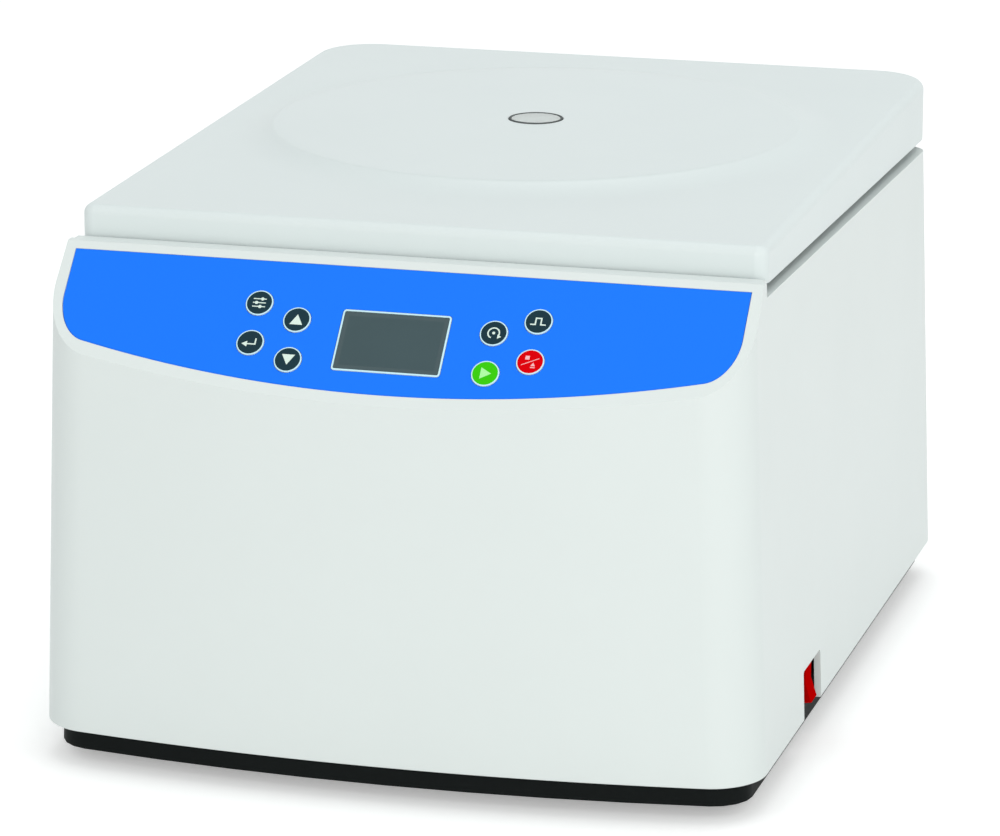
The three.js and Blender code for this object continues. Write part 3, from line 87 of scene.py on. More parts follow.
# Shader helpers: each input is given a value, or a socket to link it to
def addNode(tree, kind, inputs=None, **settings):
    node = tree.nodes.new("ShaderNode" + kind)
    for name, value in settings.items():
        setattr(node, name, value)
    for key, value in (inputs or {}).items():
        if isinstance(value, bpy.types.NodeSocket):
            tree.links.new(value, node.inputs[key])
        else:
            node.inputs[key].default_value = value
    return node


def calculate(tree, operation, *values):
    return addNode(tree, "Math", dict(enumerate(values)), operation=operation).outputs[0]


def addNoise(tree, vector, scale, detail, roughness):
    inputs = {"Vector": vector, "Scale": scale, "Detail": detail, "Roughness": roughness}
    return addNode(tree, "TexNoise", inputs).outputs["Fac"]


def newGroup(name, inputs, outputs):
    group = bpy.data.node_groups.new(name, "ShaderNodeTree")
    for label, kind, value in inputs:
        socket = group.interface.new_socket(name=label, in_out="INPUT", socket_type="NodeSocket" + kind)
        if value is not None:
            socket.default_value = value
    for label, kind in outputs:
        group.interface.new_socket(name=label, in_out="OUTPUT", socket_type="NodeSocket" + kind)
    return group, group.nodes.new("NodeGroupInput").outputs, group.nodes.new("NodeGroupOutput").inputs


# A roughness that follows a noise up and down about its middle
def spreadRoughness(group, given, noise):
    centred = calculate(group, "SUBTRACT", noise, 0.5)
    return calculate(group, "MULTIPLY_ADD", centred, given["Spread"], given["Roughness"])


# Moulded grain: fine height for bumps, and a broader change in gloss
def makeGrainGroup():
    group, given, result = newGroup(
        "mouldedGrain",
        [("Vector", "Vector", None), ("Scale", "Float", 1600.0), ("Roughness", "Float", 0.35),
         ("Spread", "Float", 0.06)],
        [("Height", "Float"), ("Roughness", "Float")])
    fine = addNoise(group, given["Vector"], given["Scale"], detail=3.0, roughness=0.55)
    broad = addNoise(group, given["Vector"], scale=14.0, detail=4.0, roughness=0.6)
    group.links.new(fine, result["Height"])
    group.links.new(spreadRoughness(group, given, broad), result["Roughness"])
    return group


# Slow drift of tone over a surface
def makeDriftGroup():
    group, given, result = newGroup(
        "toneDrift",
        [("Vector", "Vector", None), ("Color", "Color", (0.8, 0.8, 0.8, 1)),
         ("Drift Color", "Color", (0.7, 0.7, 0.7, 1)), ("Scale", "Float", 6.0), ("Amount", "Float", 0.4)],
        [("Color", "Color")])
    noise = addNoise(group, given["Vector"], given["Scale"], detail=5.0, roughness=0.62)
    ramp = addNode(group, "MapRange", {"Value": noise, "From Min": 0.35, "From Max": 0.7})
    amount = calculate(group, "MULTIPLY", ramp.outputs["Result"], given["Amount"])
    colors = {"Factor": amount, 6: given["Color"], 7: given["Drift Color"]}  # 6 and 7 are its colours
    group.links.new(addNode(group, "Mix", colors, data_type="RGBA").outputs[2], result["Color"])
    return group


# Brushed or turned metal: fine lines across the stretched direction
def makeBrushedGroup():
    group, given, result = newGroup(
        "brushedLines",
        [("Vector", "Vector", None), ("Roughness", "Float", 0.3), ("Spread", "Float", 0.2)],
        [("Height", "Float"), ("Roughness", "Float")])
    lines = addNoise(group, given["Vector"], scale=1.0, detail=4.0, roughness=0.7)
    group.links.new(lines, result["Height"])
    group.links.new(spreadRoughness(group, given, lines), result["Roughness"])
    return group


# Distance from an upright axis and height, as a coordinate for turned and spun metal
def makeTurnedGroup():
    group, given, result = newGroup(
        "turnedCoordinate",
        [("Vector", "Vector", None), ("Ring Scale", "Float", 1400.0)],
        [("Vector", "Vector")])
    parts = addNode(group, "SeparateXYZ", {0: given["Vector"]}).outputs
    flat = addNode(group, "CombineXYZ", {"X": parts["X"], "Y": parts["Y"]}).outputs[0]
    radius = addNode(group, "VectorMath", {0: flat}, operation="LENGTH").outputs["Value"]
    rings = calculate(group, "MULTIPLY", radius, given["Ring Scale"])
    heights = calculate(group, "MULTIPLY", parts["Z"], given["Ring Scale"])
    group.links.new(addNode(group, "CombineXYZ", {"X": rings, "Y": heights}).outputs[0], result["Vector"])
    return group


groups = {
    "grain": makeGrainGroup(),
    "drift": makeDriftGroup(),
    "brushed": makeBrushedGroup(),
    "turned": makeTurnedGroup(),
}


def useGroup(tree, name, vector, **values):
    inputs = {label.replace("_", " "): value for label, value in values.items()}
    return addNode(tree, "Group", {"Vector": vector, **inputs}, node_tree=groups[name]).outputs


def useDrift(tree, place, color, tone, **values):
    drifted = [channel * tone for channel in color]
    return useGroup(tree, "drift", place, Color=(*color, 1), Drift_Color=(*drifted, 1), **values)


def newMaterial(name, shaderValues):
    material = bpy.data.materials.new(name)
    material.use_nodes = True
    shader = material.node_tree.nodes["Principled BSDF"].inputs
    for label, value in shaderValues.items():
        shader[label].default_value = value
    return material, material.node_tree, shader


def objectPlace(tree):
    return addNode(tree, "TexCoord").outputs["Object"]


# What varies over a surface, linked to its shader
def dress(tree, shader, tone, texture, bumpDepth=0, bumpStrength=0):
    tree.links.new(tone["Color"], shader["Base Color"])
    tree.links.new(texture["Roughness"], shader["Roughness"])
    if bumpDepth:
        inputs = {"Height": texture["Height"], "Distance": bumpDepth, "Strength": bumpStrength}
        tree.links.new(addNode(tree, "Bump", inputs).outputs["Normal"], shader["Normal"])


# Plastics, rubbers and paint share one build and differ in these values
plasticFinishes = {
    "painted_shell": {"rough": 0.34, "gloss": 0.22, "grain": 1500, "bump": 0.05, "drift": 0.5, "tone": 0.965},
    "lid_plastic": {"rough": 0.32, "gloss": 0.22, "grain": 1500, "bump": 0.05, "drift": 0.5, "tone": 0.965},
    "sheet_paint": {"rough": 0.46, "gloss": 0.4, "grain": 900, "bump": 0.16, "drift": 0.5, "tone": 0.95},
    "black_plastic": {"rough": 0.5, "gloss": 0.03, "grain": 1100, "bump": 0.2, "drift": 0.7, "tone": 0.8},
    "black_rubber": {"rough": 0.8, "gloss": 0.15, "grain": 700, "bump": 0.3, "drift": 0.8, "tone": 2.2},
    "grey_rubber": {"rough": 0.72, "gloss": 0.3, "grain": 800, "bump": 0.25, "drift": 0.6, "tone": 0.8},
    "overlay_blue": {"rough": 0.38, "gloss": 0.04, "grain": 2200, "bump": 0.06, "drift": 0.35, "tone": 0.95},
    "pale_frame": {"rough": 0.4, "gloss": 0.4, "grain": 2000, "bump": 0.04, "drift": 0.3, "tone": 0.95},
    "display_grey": {"rough": 0.12, "gloss": 0.16, "grain": 900, "bump": 0.01, "drift": 0.5, "tone": 0.9},
    "key_teal": {"rough": 0.42, "gloss": 0.05, "grain": 2400, "bump": 0.08, "drift": 0.6, "tone": 0.8},
    "key_green": {"rough": 0.42, "gloss": 0.05, "grain": 2400, "bump": 0.08, "drift": 0.5, "tone": 0.85},
    "key_red": {"rough": 0.42, "gloss": 0.02, "grain": 2400, "bump": 0.08, "drift": 0.5, "tone": 0.85},
    "rocker_red": {"rough": 0.3, "gloss": 0.0, "grain": 900, "bump": 0.02, "drift": 0.6, "tone": 0.7},
    "board_green": {"rough": 0.4, "gloss": 0.4, "grain": 500, "bump": 0.15, "drift": 0.8, "tone": 0.5},
}


def makePlastic(slot):
    look = plasticFinishes[slot]
    material, tree, shader = newMaterial(slot, {"Specular IOR Level": look["gloss"]})
    place = objectPlace(tree)
    grain = useGroup(tree, "grain", place, Scale=look["grain"], Roughness=look["rough"], Spread=0.08)
    tone = useDrift(tree, place, colorOf[slot], look["tone"], Amount=look["drift"])
    dress(tree, shader, tone, grain, bumpDepth=0.1 * mm, bumpStrength=look["bump"])
    return material


# Metals have rings about the chamber's axis, or lines along a stretch
metalFinishes = {
    "stainless": {"ringScale": 1100, "rough": 0.26, "spread": 0.22, "bump": 0.12},
    "anodised": {"ringScale": 1500, "rough": 0.36, "spread": 0.16, "bump": 0.08},
    "zinc_steel": {"stretch": (2200, 160, 2200), "rough": 0.36, "spread": 0.25, "bump": 0.12},
}


def makeMetal(slot):
    look = metalFinishes[slot]
    material, tree, shader = newMaterial(slot, {"Metallic": 1.0})
    place = objectPlace(tree)
    if "ringScale" in look:
        centred = addNode(tree, "Mapping", {"Vector": place, "Location": (0, -chamberY, 0)}).outputs["Vector"]
        vector = useGroup(tree, "turned", centred, Ring_Scale=look["ringScale"])["Vector"]
    else:
        vector = addNode(tree, "Mapping", {"Vector": place, "Scale": look["stretch"]}).outputs["Vector"]
    lines = useGroup(tree, "brushed", vector, Roughness=look["rough"], Spread=look["spread"])
    tone = useDrift(tree, place, colorOf[slot], tone=0.82, Scale=18, Amount=0.5)
    dress(tree, shader, tone, lines, bumpDepth=0.05 * mm, bumpStrength=look["bump"])
    return material


glassFinish = {"transmission": 0.5, "refraction": 1.49, "color": (0.86, 0.93, 0.91, 1),
               "driftColor": (0.8, 0.89, 0.87, 1)}


def makeGlass(slot):
    shaderValues = {"Transmission Weight": glassFinish["transmission"], "IOR": glassFinish["refraction"]}
    material, tree, shader = newMaterial(slot, shaderValues)
    place = objectPlace(tree)
    grain = useGroup(tree, "grain", place, Scale=300, Roughness=0.12, Spread=0.05)
    colors = {"Color": glassFinish["color"], "Drift_Color": glassFinish["driftColor"]}
    dress(tree, shader, useGroup(tree, "drift", place, Scale=60, **colors), grain)
    return material


# Prints, the pins' bright metal, and the dark field on the display's window
inkFinishes = {
    "paleRing": {"color": (0.62, 0.86, 0.93), "gloss": 0.06, "metallic": 0},
    "paleInk": {"color": (0.72, 0.86, 0.78), "gloss": 0.06, "metallic": 0},
    "greenInk": {"color": (0.42, 0.93, 0.36), "gloss": 0.06, "metallic": 0},
    "redInk": {"color": (0.93, 0.5, 0.52), "gloss": 0.06, "metallic": 0},
    "brightPin": {"color": (0.72, 0.66, 0.5), "gloss": 0.5, "metallic": 1},
    "screenField": {"color": (0.063, 0.098, 0.108), "gloss": 0.06, "metallic": 0},
}


def makeInk(name):
    look = inkFinishes[name]
    shaderValues = {"Specular IOR Level": look["gloss"], "Metallic": look["metallic"]}
    material, tree, shader = newMaterial(name, shaderValues)
    place = objectPlace(tree)
    grain = useGroup(tree, "grain", place, Scale=2000, Roughness=0.35, Spread=0.05)
    tone = useDrift(tree, place, look["color"], tone=0.9, Scale=40)
    dress(tree, shader, tone, grain, bumpDepth=0.05 * mm, bumpStrength=0.05)
    return material


finishes = {slot: makePlastic(slot) for slot in plasticFinishes}
finishes.update({slot: makeMetal(slot) for slot in metalFinishes})
finishes["clear_glass"] = makeGlass("clear_glass")
inks = {name: makeInk(name) for name in inkFinishes}
print("materials made")


# Mesh helpers
def toObject(name, bm):
    mesh = bpy.data.meshes.new(name)
    bm.to_mesh(mesh)
    bm.free()
    piece = bpy.data.objects.new(name, mesh)
    bpy.context.scene.collection.objects.link(piece)
    return piece


def move(bm, matrix):
    bmesh.ops.transform(bm, matrix=matrix, verts=bm.verts)
    return bm


def cutAway(bm, point, normal):
    geometry = bm.verts[:] + bm.edges[:] + bm.faces[:]
    result = bmesh.ops.bisect_plane(
        bm, geom=geometry, dist=planeDistance, plane_co=point, plane_no=normal, clear_outer=True)
    edges = [item for item in result["geom_cut"] if isinstance(item, bmesh.types.BMEdge)]
    bmesh.ops.edgeloop_fill(bm, edges=edges)
    bmesh.ops.recalc_face_normals(bm, faces=bm.faces)


def roundOff(bm, parts, width, segments, affect="EDGES"):
    bmesh.ops.bevel(bm, geom=parts, offset=width, segments=segments, profile=0.5, affect=affect, material=-1,
                    clamp_overlap=False)


def runsAlong(edge, axis):
    return abs(edge.verts[0].co[axis] - edge.verts[1].co[axis]) > tolerance


def edgesAbove(bm, height):
    return [edge for edge in bm.edges if min(vert.co.z for vert in edge.verts) > height]


def applyBoolean(piece, tools, operation="DIFFERENCE"):
    for tool in tools:
        modifier = piece.modifiers.new("shape", "BOOLEAN")
        modifier.operation = operation
        modifier.solver = "MANIFOLD"
        modifier.object = tool
    shaped = bpy.data.meshes.new_from_object(piece.evaluated_get(bpy.context.evaluated_depsgraph_get()))
    piece.modifiers.clear()
    old = piece.data
    piece.data = shaped
    shaped.name = piece.name
    bpy.data.meshes.remove(old)
    for tool in tools:
        bpy.data.objects.remove(tool)


def cutWith(piece, shapes):
    applyBoolean(piece, [toObject("tool", shape) for shape in shapes])


sharpAngle = math.radians(30)


# Smooth shading up to sharp edges, a material (by default the one of the node's slot), and the body of a CAD
# node
def finishPiece(piece, node, slot=None, material=None, evenNormals=True):
    slot = slot or slotOf[node]
    mesh = piece.data
    bm = bmesh.new()
    bm.from_mesh(mesh)
    for face in bm.faces:
        face.smooth = True
    for edge in bm.edges:
        edge.smooth = edge.is_manifold and edge.calc_face_angle() < sharpAngle
    bm.to_mesh(mesh)
    bm.free()
    mesh.materials.clear()
    mesh.materials.append(material or finishes[slot])
    if evenNormals:
        modifier = piece.modifiers.new("evenNormals", "WEIGHTED_NORMAL")
        modifier.keep_sharp = True
    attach(piece, bodyOf[node])


def replaceNode(piece, node, material=None):
    finishPiece(piece, node, material=material)
    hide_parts(node)


def boxMesh(low, high):
    bm = bmesh.new()
    bmesh.ops.create_cube(bm, size=1)
    for vert in bm.verts:
        vert.co = [high[axis] if vert.co[axis] > 0 else low[axis] for axis in range(3)]
    return bm


# A profile of (radius, height) points, spun about an upright axis
def spinProfile(profile, segments, axisY=0, closed=False, into=None):
    bm = into or bmesh.new()
    verts = [bm.verts.new((radius, axisY, height)) for radius, height in profile]
    pairs = list(zip(verts, verts[1:])) + ([(verts[-1], verts[0])] if closed else [])
    edges = [bm.edges.new(pair) for pair in pairs]
    bmesh.ops.spin(bm, geom=verts + edges, cent=(0, axisY, 0), axis=(0, 0, 1), angle=2 * math.pi,
                   steps=segments, use_merge=True)
    bmesh.ops.remove_doubles(bm, verts=bm.verts, dist=weldDistance)
    bmesh.ops.recalc_face_normals(bm, faces=bm.faces)
    return bm


# Points of a profile along an arc, with its angles in degrees
def arcPoints(centreRadius, centreHeight, radius, startAngle, endAngle, steps):
    points = []
    for step in range(steps + 1):
        angle = math.radians(startAngle + (endAngle - startAngle) * step / steps)
        points.append((centreRadius + radius * math.cos(angle), centreHeight + radius * math.sin(angle)))
    return points


# Housing
housing = {
    "frontCornerRadius": 25 * mm,
    "backCornerRadius": 16 * mm,
    "bow": 16 * mm,
    "sideDraft": math.radians(1.96),
    "wall": 3.5 * mm,
    "panelAngle": math.radians(46.3),
    "panelWall": 4 * mm,
    "rimSetback": 57.5 * mm,
    "rimThickness": 5 * mm,
    "rimReturn": 6.2 * mm,
    "rimReturnEdge": 1 * mm,
    "lidSetback": 70.6 * mm,
    "sideTopDrop": 8 * mm,
    "sideTopFall": 10 * mm,
    "panelEdge": 4.2 * mm,
    "bottomEdge": 0.8 * mm,
    "ledgeWidth": 5 * mm,
    "ledgeHeight": 4 * mm,
    "returnWidth": 9 * mm,
    "returnThickness": 3 * mm,
    "fit": 0.3 * mm,  # play between pieces
    "overrun": 5 * mm,  # how far a cutting shape reaches past what it cuts
    "frontSteps": 14,
    "backSteps": 8,
    "bowSteps": 40,
    "flatFront": 0.999,  # tells the front's flat face from its rounded corners
}
fit, overrun = housing["fit"], housing["overrun"]
casingLow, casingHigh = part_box("outer_casing")
rimY = casingLow.y + housing["rimSetback"]
rimZ = casingHigh.z
lidFrontY = casingLow.y + housing["lidSetback"]
rimBackY = rimY + housing["rimThickness"]
panelMatrix = Matrix.Translation((0, rimY, rimZ)) @ Matrix.Rotation(housing["panelAngle"], 4, "X")
panelUp = (panelMatrix.to_3x3() @ Vector((0, 1, 0))).normalized()
panelNormal = (panelMatrix.to_3x3() @ Vector((0, 0, 1))).normalized()


def halfWidthAt(height):
    return casingHigh.x - (height - casingLow.z) * math.tan(housing["sideDraft"])


def sideTopAt(y):
    slope = housing["sideTopFall"] / (casingHigh.y - lidFrontY)
    return rimZ - housing["sideTopDrop"] - (y - lidFrontY) * slope


def panelPoint(x, drop, height):
    return panelMatrix @ Vector((x, -drop, height))


# A block with rounded corners and a bowed front; its half width may change with height
def bowedBlock(widthAt, front, back, frontRadius, backRadius, low, high):
    bm = bmesh.new()
    bmesh.ops.create_cube(bm, size=1)
    middle = (front + back) / 2
    for vert in bm.verts:
        height = low if vert.co.z < 0 else high
        vert.co = (math.copysign(widthAt(height), vert.co.x), front if vert.co.y < 0 else back, height)
    for isFront, radius, steps in ((True, frontRadius, housing["frontSteps"]),
                                   (False, backRadius, housing["backSteps"])):
        corners = [edge for edge in bm.edges
                   if runsAlong(edge, 2) and (edge.verts[0].co.y < middle) == isFront]
        roundOff(bm, corners, max(radius, fit), steps)
    span = widthAt(low) - frontRadius
    for step in range(1, housing["bowSteps"]):
        faces = [face for face in bm.faces if face.normal.y < -housing["flatFront"]]
        edges = {edge for face in faces for edge in face.edges}
        verts = {vert for face in faces for vert in face.verts}
        x = -span + 2 * span * step / housing["bowSteps"]
        bmesh.ops.bisect_plane(bm, geom=list(verts) + list(edges) + faces, dist=planeDistance,
                               plane_co=(x, 0, 0), plane_no=(1, 0, 0))
    for vert in bm.verts:
        if vert.co.y < middle:
            share = vert.co.x / widthAt(vert.co.z)
            vert.co.y -= housing["bow"] * (1 - share * share)
    bmesh.ops.recalc_face_normals(bm, faces=bm.faces)
    return bm


# The housing's own block, moved inwards by inset
def draftedBlock(inset, low, high):
    front, back = casingLow.y + housing["bow"] + inset, casingHigh.y - inset
    return bowedBlock(lambda height: halfWidthAt(height) - inset, front, back,
                      housing["frontCornerRadius"] - inset, housing["backCornerRadius"] - inset, low, high)


overlay = {
    "sideMargin": 5.7 * mm,
    "footMargin": 4.6 * mm,
    "topDrop": 5 * mm,
    "cornerRadius": 15 * mm,
    "thickness": 1 * mm,
    "proud": 0.1 * mm,
}
overlayUnder = overlay["proud"] - overlay["thickness"]


# The film's outline, grown by extra, between two heights over the panel
def overlaySlab(extra, low, high):
    halfWidth = halfWidthAt(rimZ) - overlay["sideMargin"] + extra
    corner = overlay["cornerRadius"] + extra
    front = casingLow.y + housing["bow"] + overlay["footMargin"] - extra
    bm = bowedBlock(lambda height: halfWidth, front, casingHigh.y, corner, corner, casingLow.z,
                    rimZ + overrun)
    cutAway(bm, panelPoint(0, 0, high), panelNormal)
    cutAway(bm, panelPoint(0, 0, low), -panelNormal)
    cutAway(bm, panelPoint(0, overlay["topDrop"] - extra, 0), panelUp)
    return bm


# A round bar square to the panel, between two heights over it
def panelDrum(place, radius, low, high, segments):
    bm = bmesh.new()
    bmesh.ops.create_cone(bm, cap_ends=True, segments=segments, radius1=radius, radius2=radius,
                          depth=high - low)
    bmesh.ops.translate(bm, verts=bm.verts, vec=(place[0], -place[1], (low + high) / 2))
    return move(bm, panelMatrix)


display = {
    "width": 56.2 * mm,
    "height": 34.8 * mm,
    "drop": 47.13 * mm,
    "corner": 1.8 * mm,
    "frame": 0.9 * mm,
    "proud": 0.35 * mm,
    "edge": 0.2 * mm,
    "moduleInset": 3.2 * mm,
    "paneGap": 0.075 * mm,
    "fieldInset": 3.4 * mm,
    "fieldCorner": 0.6 * mm,
    "fieldHeight": 0.03 * mm,
}


# A slab on the panel with the display's outline, moved inwards by inset
def displaySlab(inset, corner, low, high, softness=0):
    halfWidth, halfHeight = display["width"] / 2 - inset, display["height"] / 2 - inset
    bm = boxMesh((-halfWidth, -halfHeight, low), (halfWidth, halfHeight, high))
    roundOff(bm, [edge for edge in bm.edges if runsAlong(edge, 2)], corner, segments=6)
    bmesh.ops.translate(bm, verts=bm.verts, vec=(0, -display["drop"], 0))
    if softness:
        roundOff(bm, edgesAbove(bm, high - tolerance), softness, segments=3)
    return move(bm, panelMatrix)


keys = {
    "radius": 7.1 * mm,
    "ringWidth": 0.62 * mm,
    "proud": 0.7 * mm,
    "thickness": 1 * mm,
    "stemRadius": 4 * mm,
    "travel": 0.6 * mm,
    "boardGap": 8.2 * mm,
    "edge": 0.18 * mm,
    "inkHeight": 0.05 * mm,
    "segments": 48,
    "places": {  # across the panel and down it, in millimetres
        "key_set": (-72.4, 29.63), "key_enter": (-72.4, 52.53), "key_up": (-51, 37.83),
        "key_down": (-51, 60.73), "key_units": (51, 37.83), "key_pulse": (72.4, 29.63),
        "key_start": (51, 60.73), "key_stop": (72.4, 52.53),
    },
}
keyPlaces = {name: (x * mm, drop * mm) for name, (x, drop) in keys["places"].items()}
boardPosts = {
    "radius": 4 * mm,
    "places": [(x * mm, drop * mm) for drop in (27.03, 64.73) for x in (-99.4, 99.4)],
    "top": -3.7 * mm,
    "foot": -7.9 * mm,
    "segments": 24,
}
notch = {"setback": 129 * mm, "length": 41 * mm, "height": 26.5 * mm, "corner": 2 * mm, "depth": 10.5 * mm}
rearOpening = {"halfWidth": 152 * mm, "low": 21 * mm, "high": 203 * mm, "corner": 2 * mm}


def keyHoles(radius, low, high):
    return [panelDrum(place, radius, low, high, keys["segments"]) for place in keyPlaces.values()]


# The ledge under the deck, the rim's return towards the lid, and posts for the control board
def makeCasingFittings():
    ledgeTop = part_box("top_deck")[0].z - fit
    ring = draftedBlock(housing["wall"] - fit, ledgeTop - housing["ledgeHeight"], ledgeTop)
    cutAway(ring, (0, rimBackY + overrun, 0), (0, -1, 0))
    ledge = toObject("ledge", ring)
    cutWith(ledge, [draftedBlock(
        housing["wall"] + housing["ledgeWidth"], ledgeTop - 2 * overrun, ledgeTop + overrun)])
    reach = halfWidthAt(rimZ) - housing["wall"] / 2
    rimReturn = boxMesh((-reach, rimBackY - fit, rimZ - housing["returnThickness"]),
                        (reach, rimBackY + housing["rimReturn"], rimZ))
    backEdge = [edge for edge in edgesAbove(rimReturn, rimZ - fit)
                if min(vert.co.y for vert in edge.verts) > rimBackY]
    roundOff(rimReturn, backEdge, housing["rimReturnEdge"], segments=4)
    posts = [panelDrum(place, *(boardPosts[name] for name in ("radius", "foot", "top", "segments")))
             for place in boardPosts["places"]]
    return [ledge] + [toObject("fitting", fitting) for fitting in [rimReturn] + posts]


# The casing's outside: cut level at the rim and slanting along the panel
def casingBlock():
    bm = draftedBlock(0, casingLow.z, rimZ + overrun)
    cutAway(bm, (0, 0, rimZ), (0, 0, 1))
    cutAway(bm, (0, rimY, rimZ), panelNormal)
    panelFace = max(bm.faces, key=lambda face: face.normal.dot(panelNormal) * face.calc_area())
    borders = [edge for edge in panelFace.edges if min(vert.co.z for vert in edge.verts) < rimZ - fit]
    roundOff(bm, borders, housing["panelEdge"], segments=6)
    bottom = [edge for edge in bm.edges if max(vert.co.z for vert in edge.verts) < casingLow.z + tolerance]
    roundOff(bm, bottom, housing["bottomEdge"], segments=3)
    return bm


# What is taken out of the casing: above its side tops, its inside in three shapes, then its openings
def casingSpaces():
    reach = casingHigh.x + overrun
    above = boxMesh((-reach, rimBackY, casingLow.z), (reach, casingHigh.y + overrun, rimZ + overrun))
    for vert in above.verts:
        if vert.co.z < rimZ:
            vert.co.z = sideTopAt(vert.co.y)
    innerLow, innerHigh = casingLow.z - overrun, rimZ + 2 * overrun
    tall = draftedBlock(housing["wall"], innerLow, innerHigh)
    cutAway(tall, (0, rimBackY, 0), (0, -1, 0))
    fall = Vector((0, casingHigh.y - rimBackY, sideTopAt(casingHigh.y) - sideTopAt(rimBackY)))
    underReturn = (0, rimBackY, sideTopAt(rimBackY) - housing["returnThickness"])
    cutAway(tall, underReturn, fall.cross(Vector((-1, 0, 0))))
    mouthLow = sideTopAt(casingHigh.y) - overrun
    mouth = draftedBlock(housing["wall"] + housing["returnWidth"], mouthLow, innerHigh)
    cutAway(mouth, (0, rimBackY, 0), (0, -1, 0))
    slanted = draftedBlock(housing["wall"], innerLow, innerHigh)
    cutAway(slanted, (0, rimBackY + fit, 0), (0, 1, 0))
    panelDrop = housing["panelWall"] / math.cos(housing["panelAngle"])
    cutAway(slanted, (0, rimY, rimZ - panelDrop), panelNormal)
    return [above, tall, mouth, slanted, switchNotch(reach), rearSpace()] + panelSpaces()


def switchNotch(reach):
    front = casingLow.y + notch["setback"]
    bm = boxMesh((casingHigh.x - notch["depth"], front, casingLow.z - overrun),
                 (reach, front + notch["length"], casingLow.z + notch["height"]))
    corners = [edge for edge in edgesAbove(bm, casingLow.z) if runsAlong(edge, 0)]
    roundOff(bm, corners, notch["corner"], segments=5)
    return bm


def rearSpace():
    halfWidth = rearOpening["halfWidth"]
    bm = boxMesh((-halfWidth, casingHigh.y - housing["wall"] - overrun, casingLow.z + rearOpening["low"]),
                 (halfWidth, casingHigh.y + overrun, casingLow.z + rearOpening["high"]))
    roundOff(bm, [edge for edge in bm.edges if runsAlong(edge, 1)], rearOpening["corner"], segments=5)
    return bm


# The film's bed, the display's window and the holes for the keys' stems
def panelSpaces():
    under = -housing["panelWall"] - overrun
    bed = overlaySlab(fit, overlayUnder - fit, overrun)
    window = displaySlab(display["moduleInset"] - fit, display["corner"], under, overrun)
    return [bed, window] + keyHoles(keys["stemRadius"] + fit, under, overrun)


def makeCasing():
    casing = toObject("casing_shell", casingBlock())
    cutWith(casing, casingSpaces())
    applyBoolean(casing, makeCasingFittings(), "UNION")
    replaceNode(casing, "outer_casing")


def makeOverlay():
    film = toObject("overlay_film", overlaySlab(0, overlayUnder, overlay["proud"]))
    opening = displaySlab(-fit, display["corner"] + fit, -overrun, overrun)
    cutWith(film, [opening] + keyHoles(keys["radius"] + fit, -overrun, overrun))
    replaceNode(film, "control_overlay")


def makeDisplay():
    corner = display["corner"] - display["frame"]
    slab = displaySlab(0, display["corner"], overlayUnder, display["proud"], display["edge"])
    rim = toObject("display_rim", slab)
    cutWith(rim, [displaySlab(display["frame"], corner, -overrun, overrun)])
    replaceNode(rim, "display_frame", inks["paleRing"])
    pane = displaySlab(display["frame"] + display["paneGap"], corner, overlayUnder, 0)
    replaceNode(toObject("display_pane", pane), "display_window")
    field = displaySlab(display["fieldInset"], display["fieldCorner"], 0, display["fieldHeight"])
    finishPiece(toObject("display_field", field), "display_window", material=inks["screenField"])


# A key's cap with its stem, then the pale ring round the cap
def makeKey(name, place):
    bottom = keys["travel"] + 2 * fit - keys["boardGap"]
    top = keys["proud"]
    under = top - keys["thickness"]
    outer, edge = keys["radius"], keys["edge"]
    inner = outer - keys["ringWidth"]
    profile = [(0, bottom), (keys["stemRadius"], bottom), (keys["stemRadius"], under), (inner, under),
               (inner, top), (0, top)]
    replaceNode(toObject(name + "_cap", move(spinProfile(profile, keys["segments"]), place)), name)
    profile = [(inner, under), (outer, under)] + arcPoints(outer - edge, top - edge, edge, 0, 90, steps=4)
    ring = move(spinProfile(profile + [(inner, top)], keys["segments"], closed=True), place)
    finishPiece(toObject(name + "_ring", ring), name, material=inks["paleRing"])


# Flat printed marks: bars, discs, triangles and arcs, in millimetres and degrees
def addBar(bm, start, end, width):
    start, end = Vector(start), Vector(end)
    made = bmesh.ops.create_grid(bm, x_segments=1, y_segments=1, size=0.5)["verts"]
    turn = Matrix.Rotation(math.atan2(end.y - start.y, end.x - start.x), 4, "Z")
    scale = Matrix.Diagonal(((end - start).length, width, 1, 1))
    middle = Matrix.Translation(((start + end) / 2).to_3d())
    bmesh.ops.transform(bm, matrix=middle @ turn @ scale, verts=made)


def addDisc(bm, centre, radius, sides, turn=0):
    made = bmesh.ops.create_circle(bm, cap_ends=True, segments=sides, radius=radius)["verts"]
    place = Matrix.Translation((*centre, 0)) @ Matrix.Rotation(math.radians(turn), 4, "Z")
    bmesh.ops.transform(bm, matrix=place, verts=made)


def addArc(bm, radius, width, start, end):
    heading = Vector((math.cos(math.radians(start)), math.sin(math.radians(start)), 0))
    ends = [bm.verts.new(heading * (radius + side * width / 2)) for side in (-1, 1)]
    bmesh.ops.spin(bm, geom=ends + [bm.edges.new(ends)], cent=(0, 0, 0), axis=(0, 0, 1),
                   angle=math.radians(end - start), steps=20)


def drawSet(bm):
    for height, knob in ((2.2, 1.3), (0, -1.5), (-2.2, 0.7)):
        addBar(bm, (-3.4, height), (knob - 0.9, height), 0.55)
        addBar(bm, (knob + 0.9, height), (3.4, height), 0.55)
        addDisc(bm, (knob, height), 0.9, 20)


def drawEnter(bm):
    addBar(bm, (-1.4, -0.9), (3.1, -0.9), 0.7)
    addBar(bm, (2.75, -0.55), (2.75, 2.4), 0.7)
    addDisc(bm, (-2.4, -0.9), 1.9, 3, 90)


def drawUp(bm):
    addDisc(bm, (0, -0.9), 3.9, 3)


def drawDown(bm):
    addDisc(bm, (0, 0.9), 3.9, 3, 180)


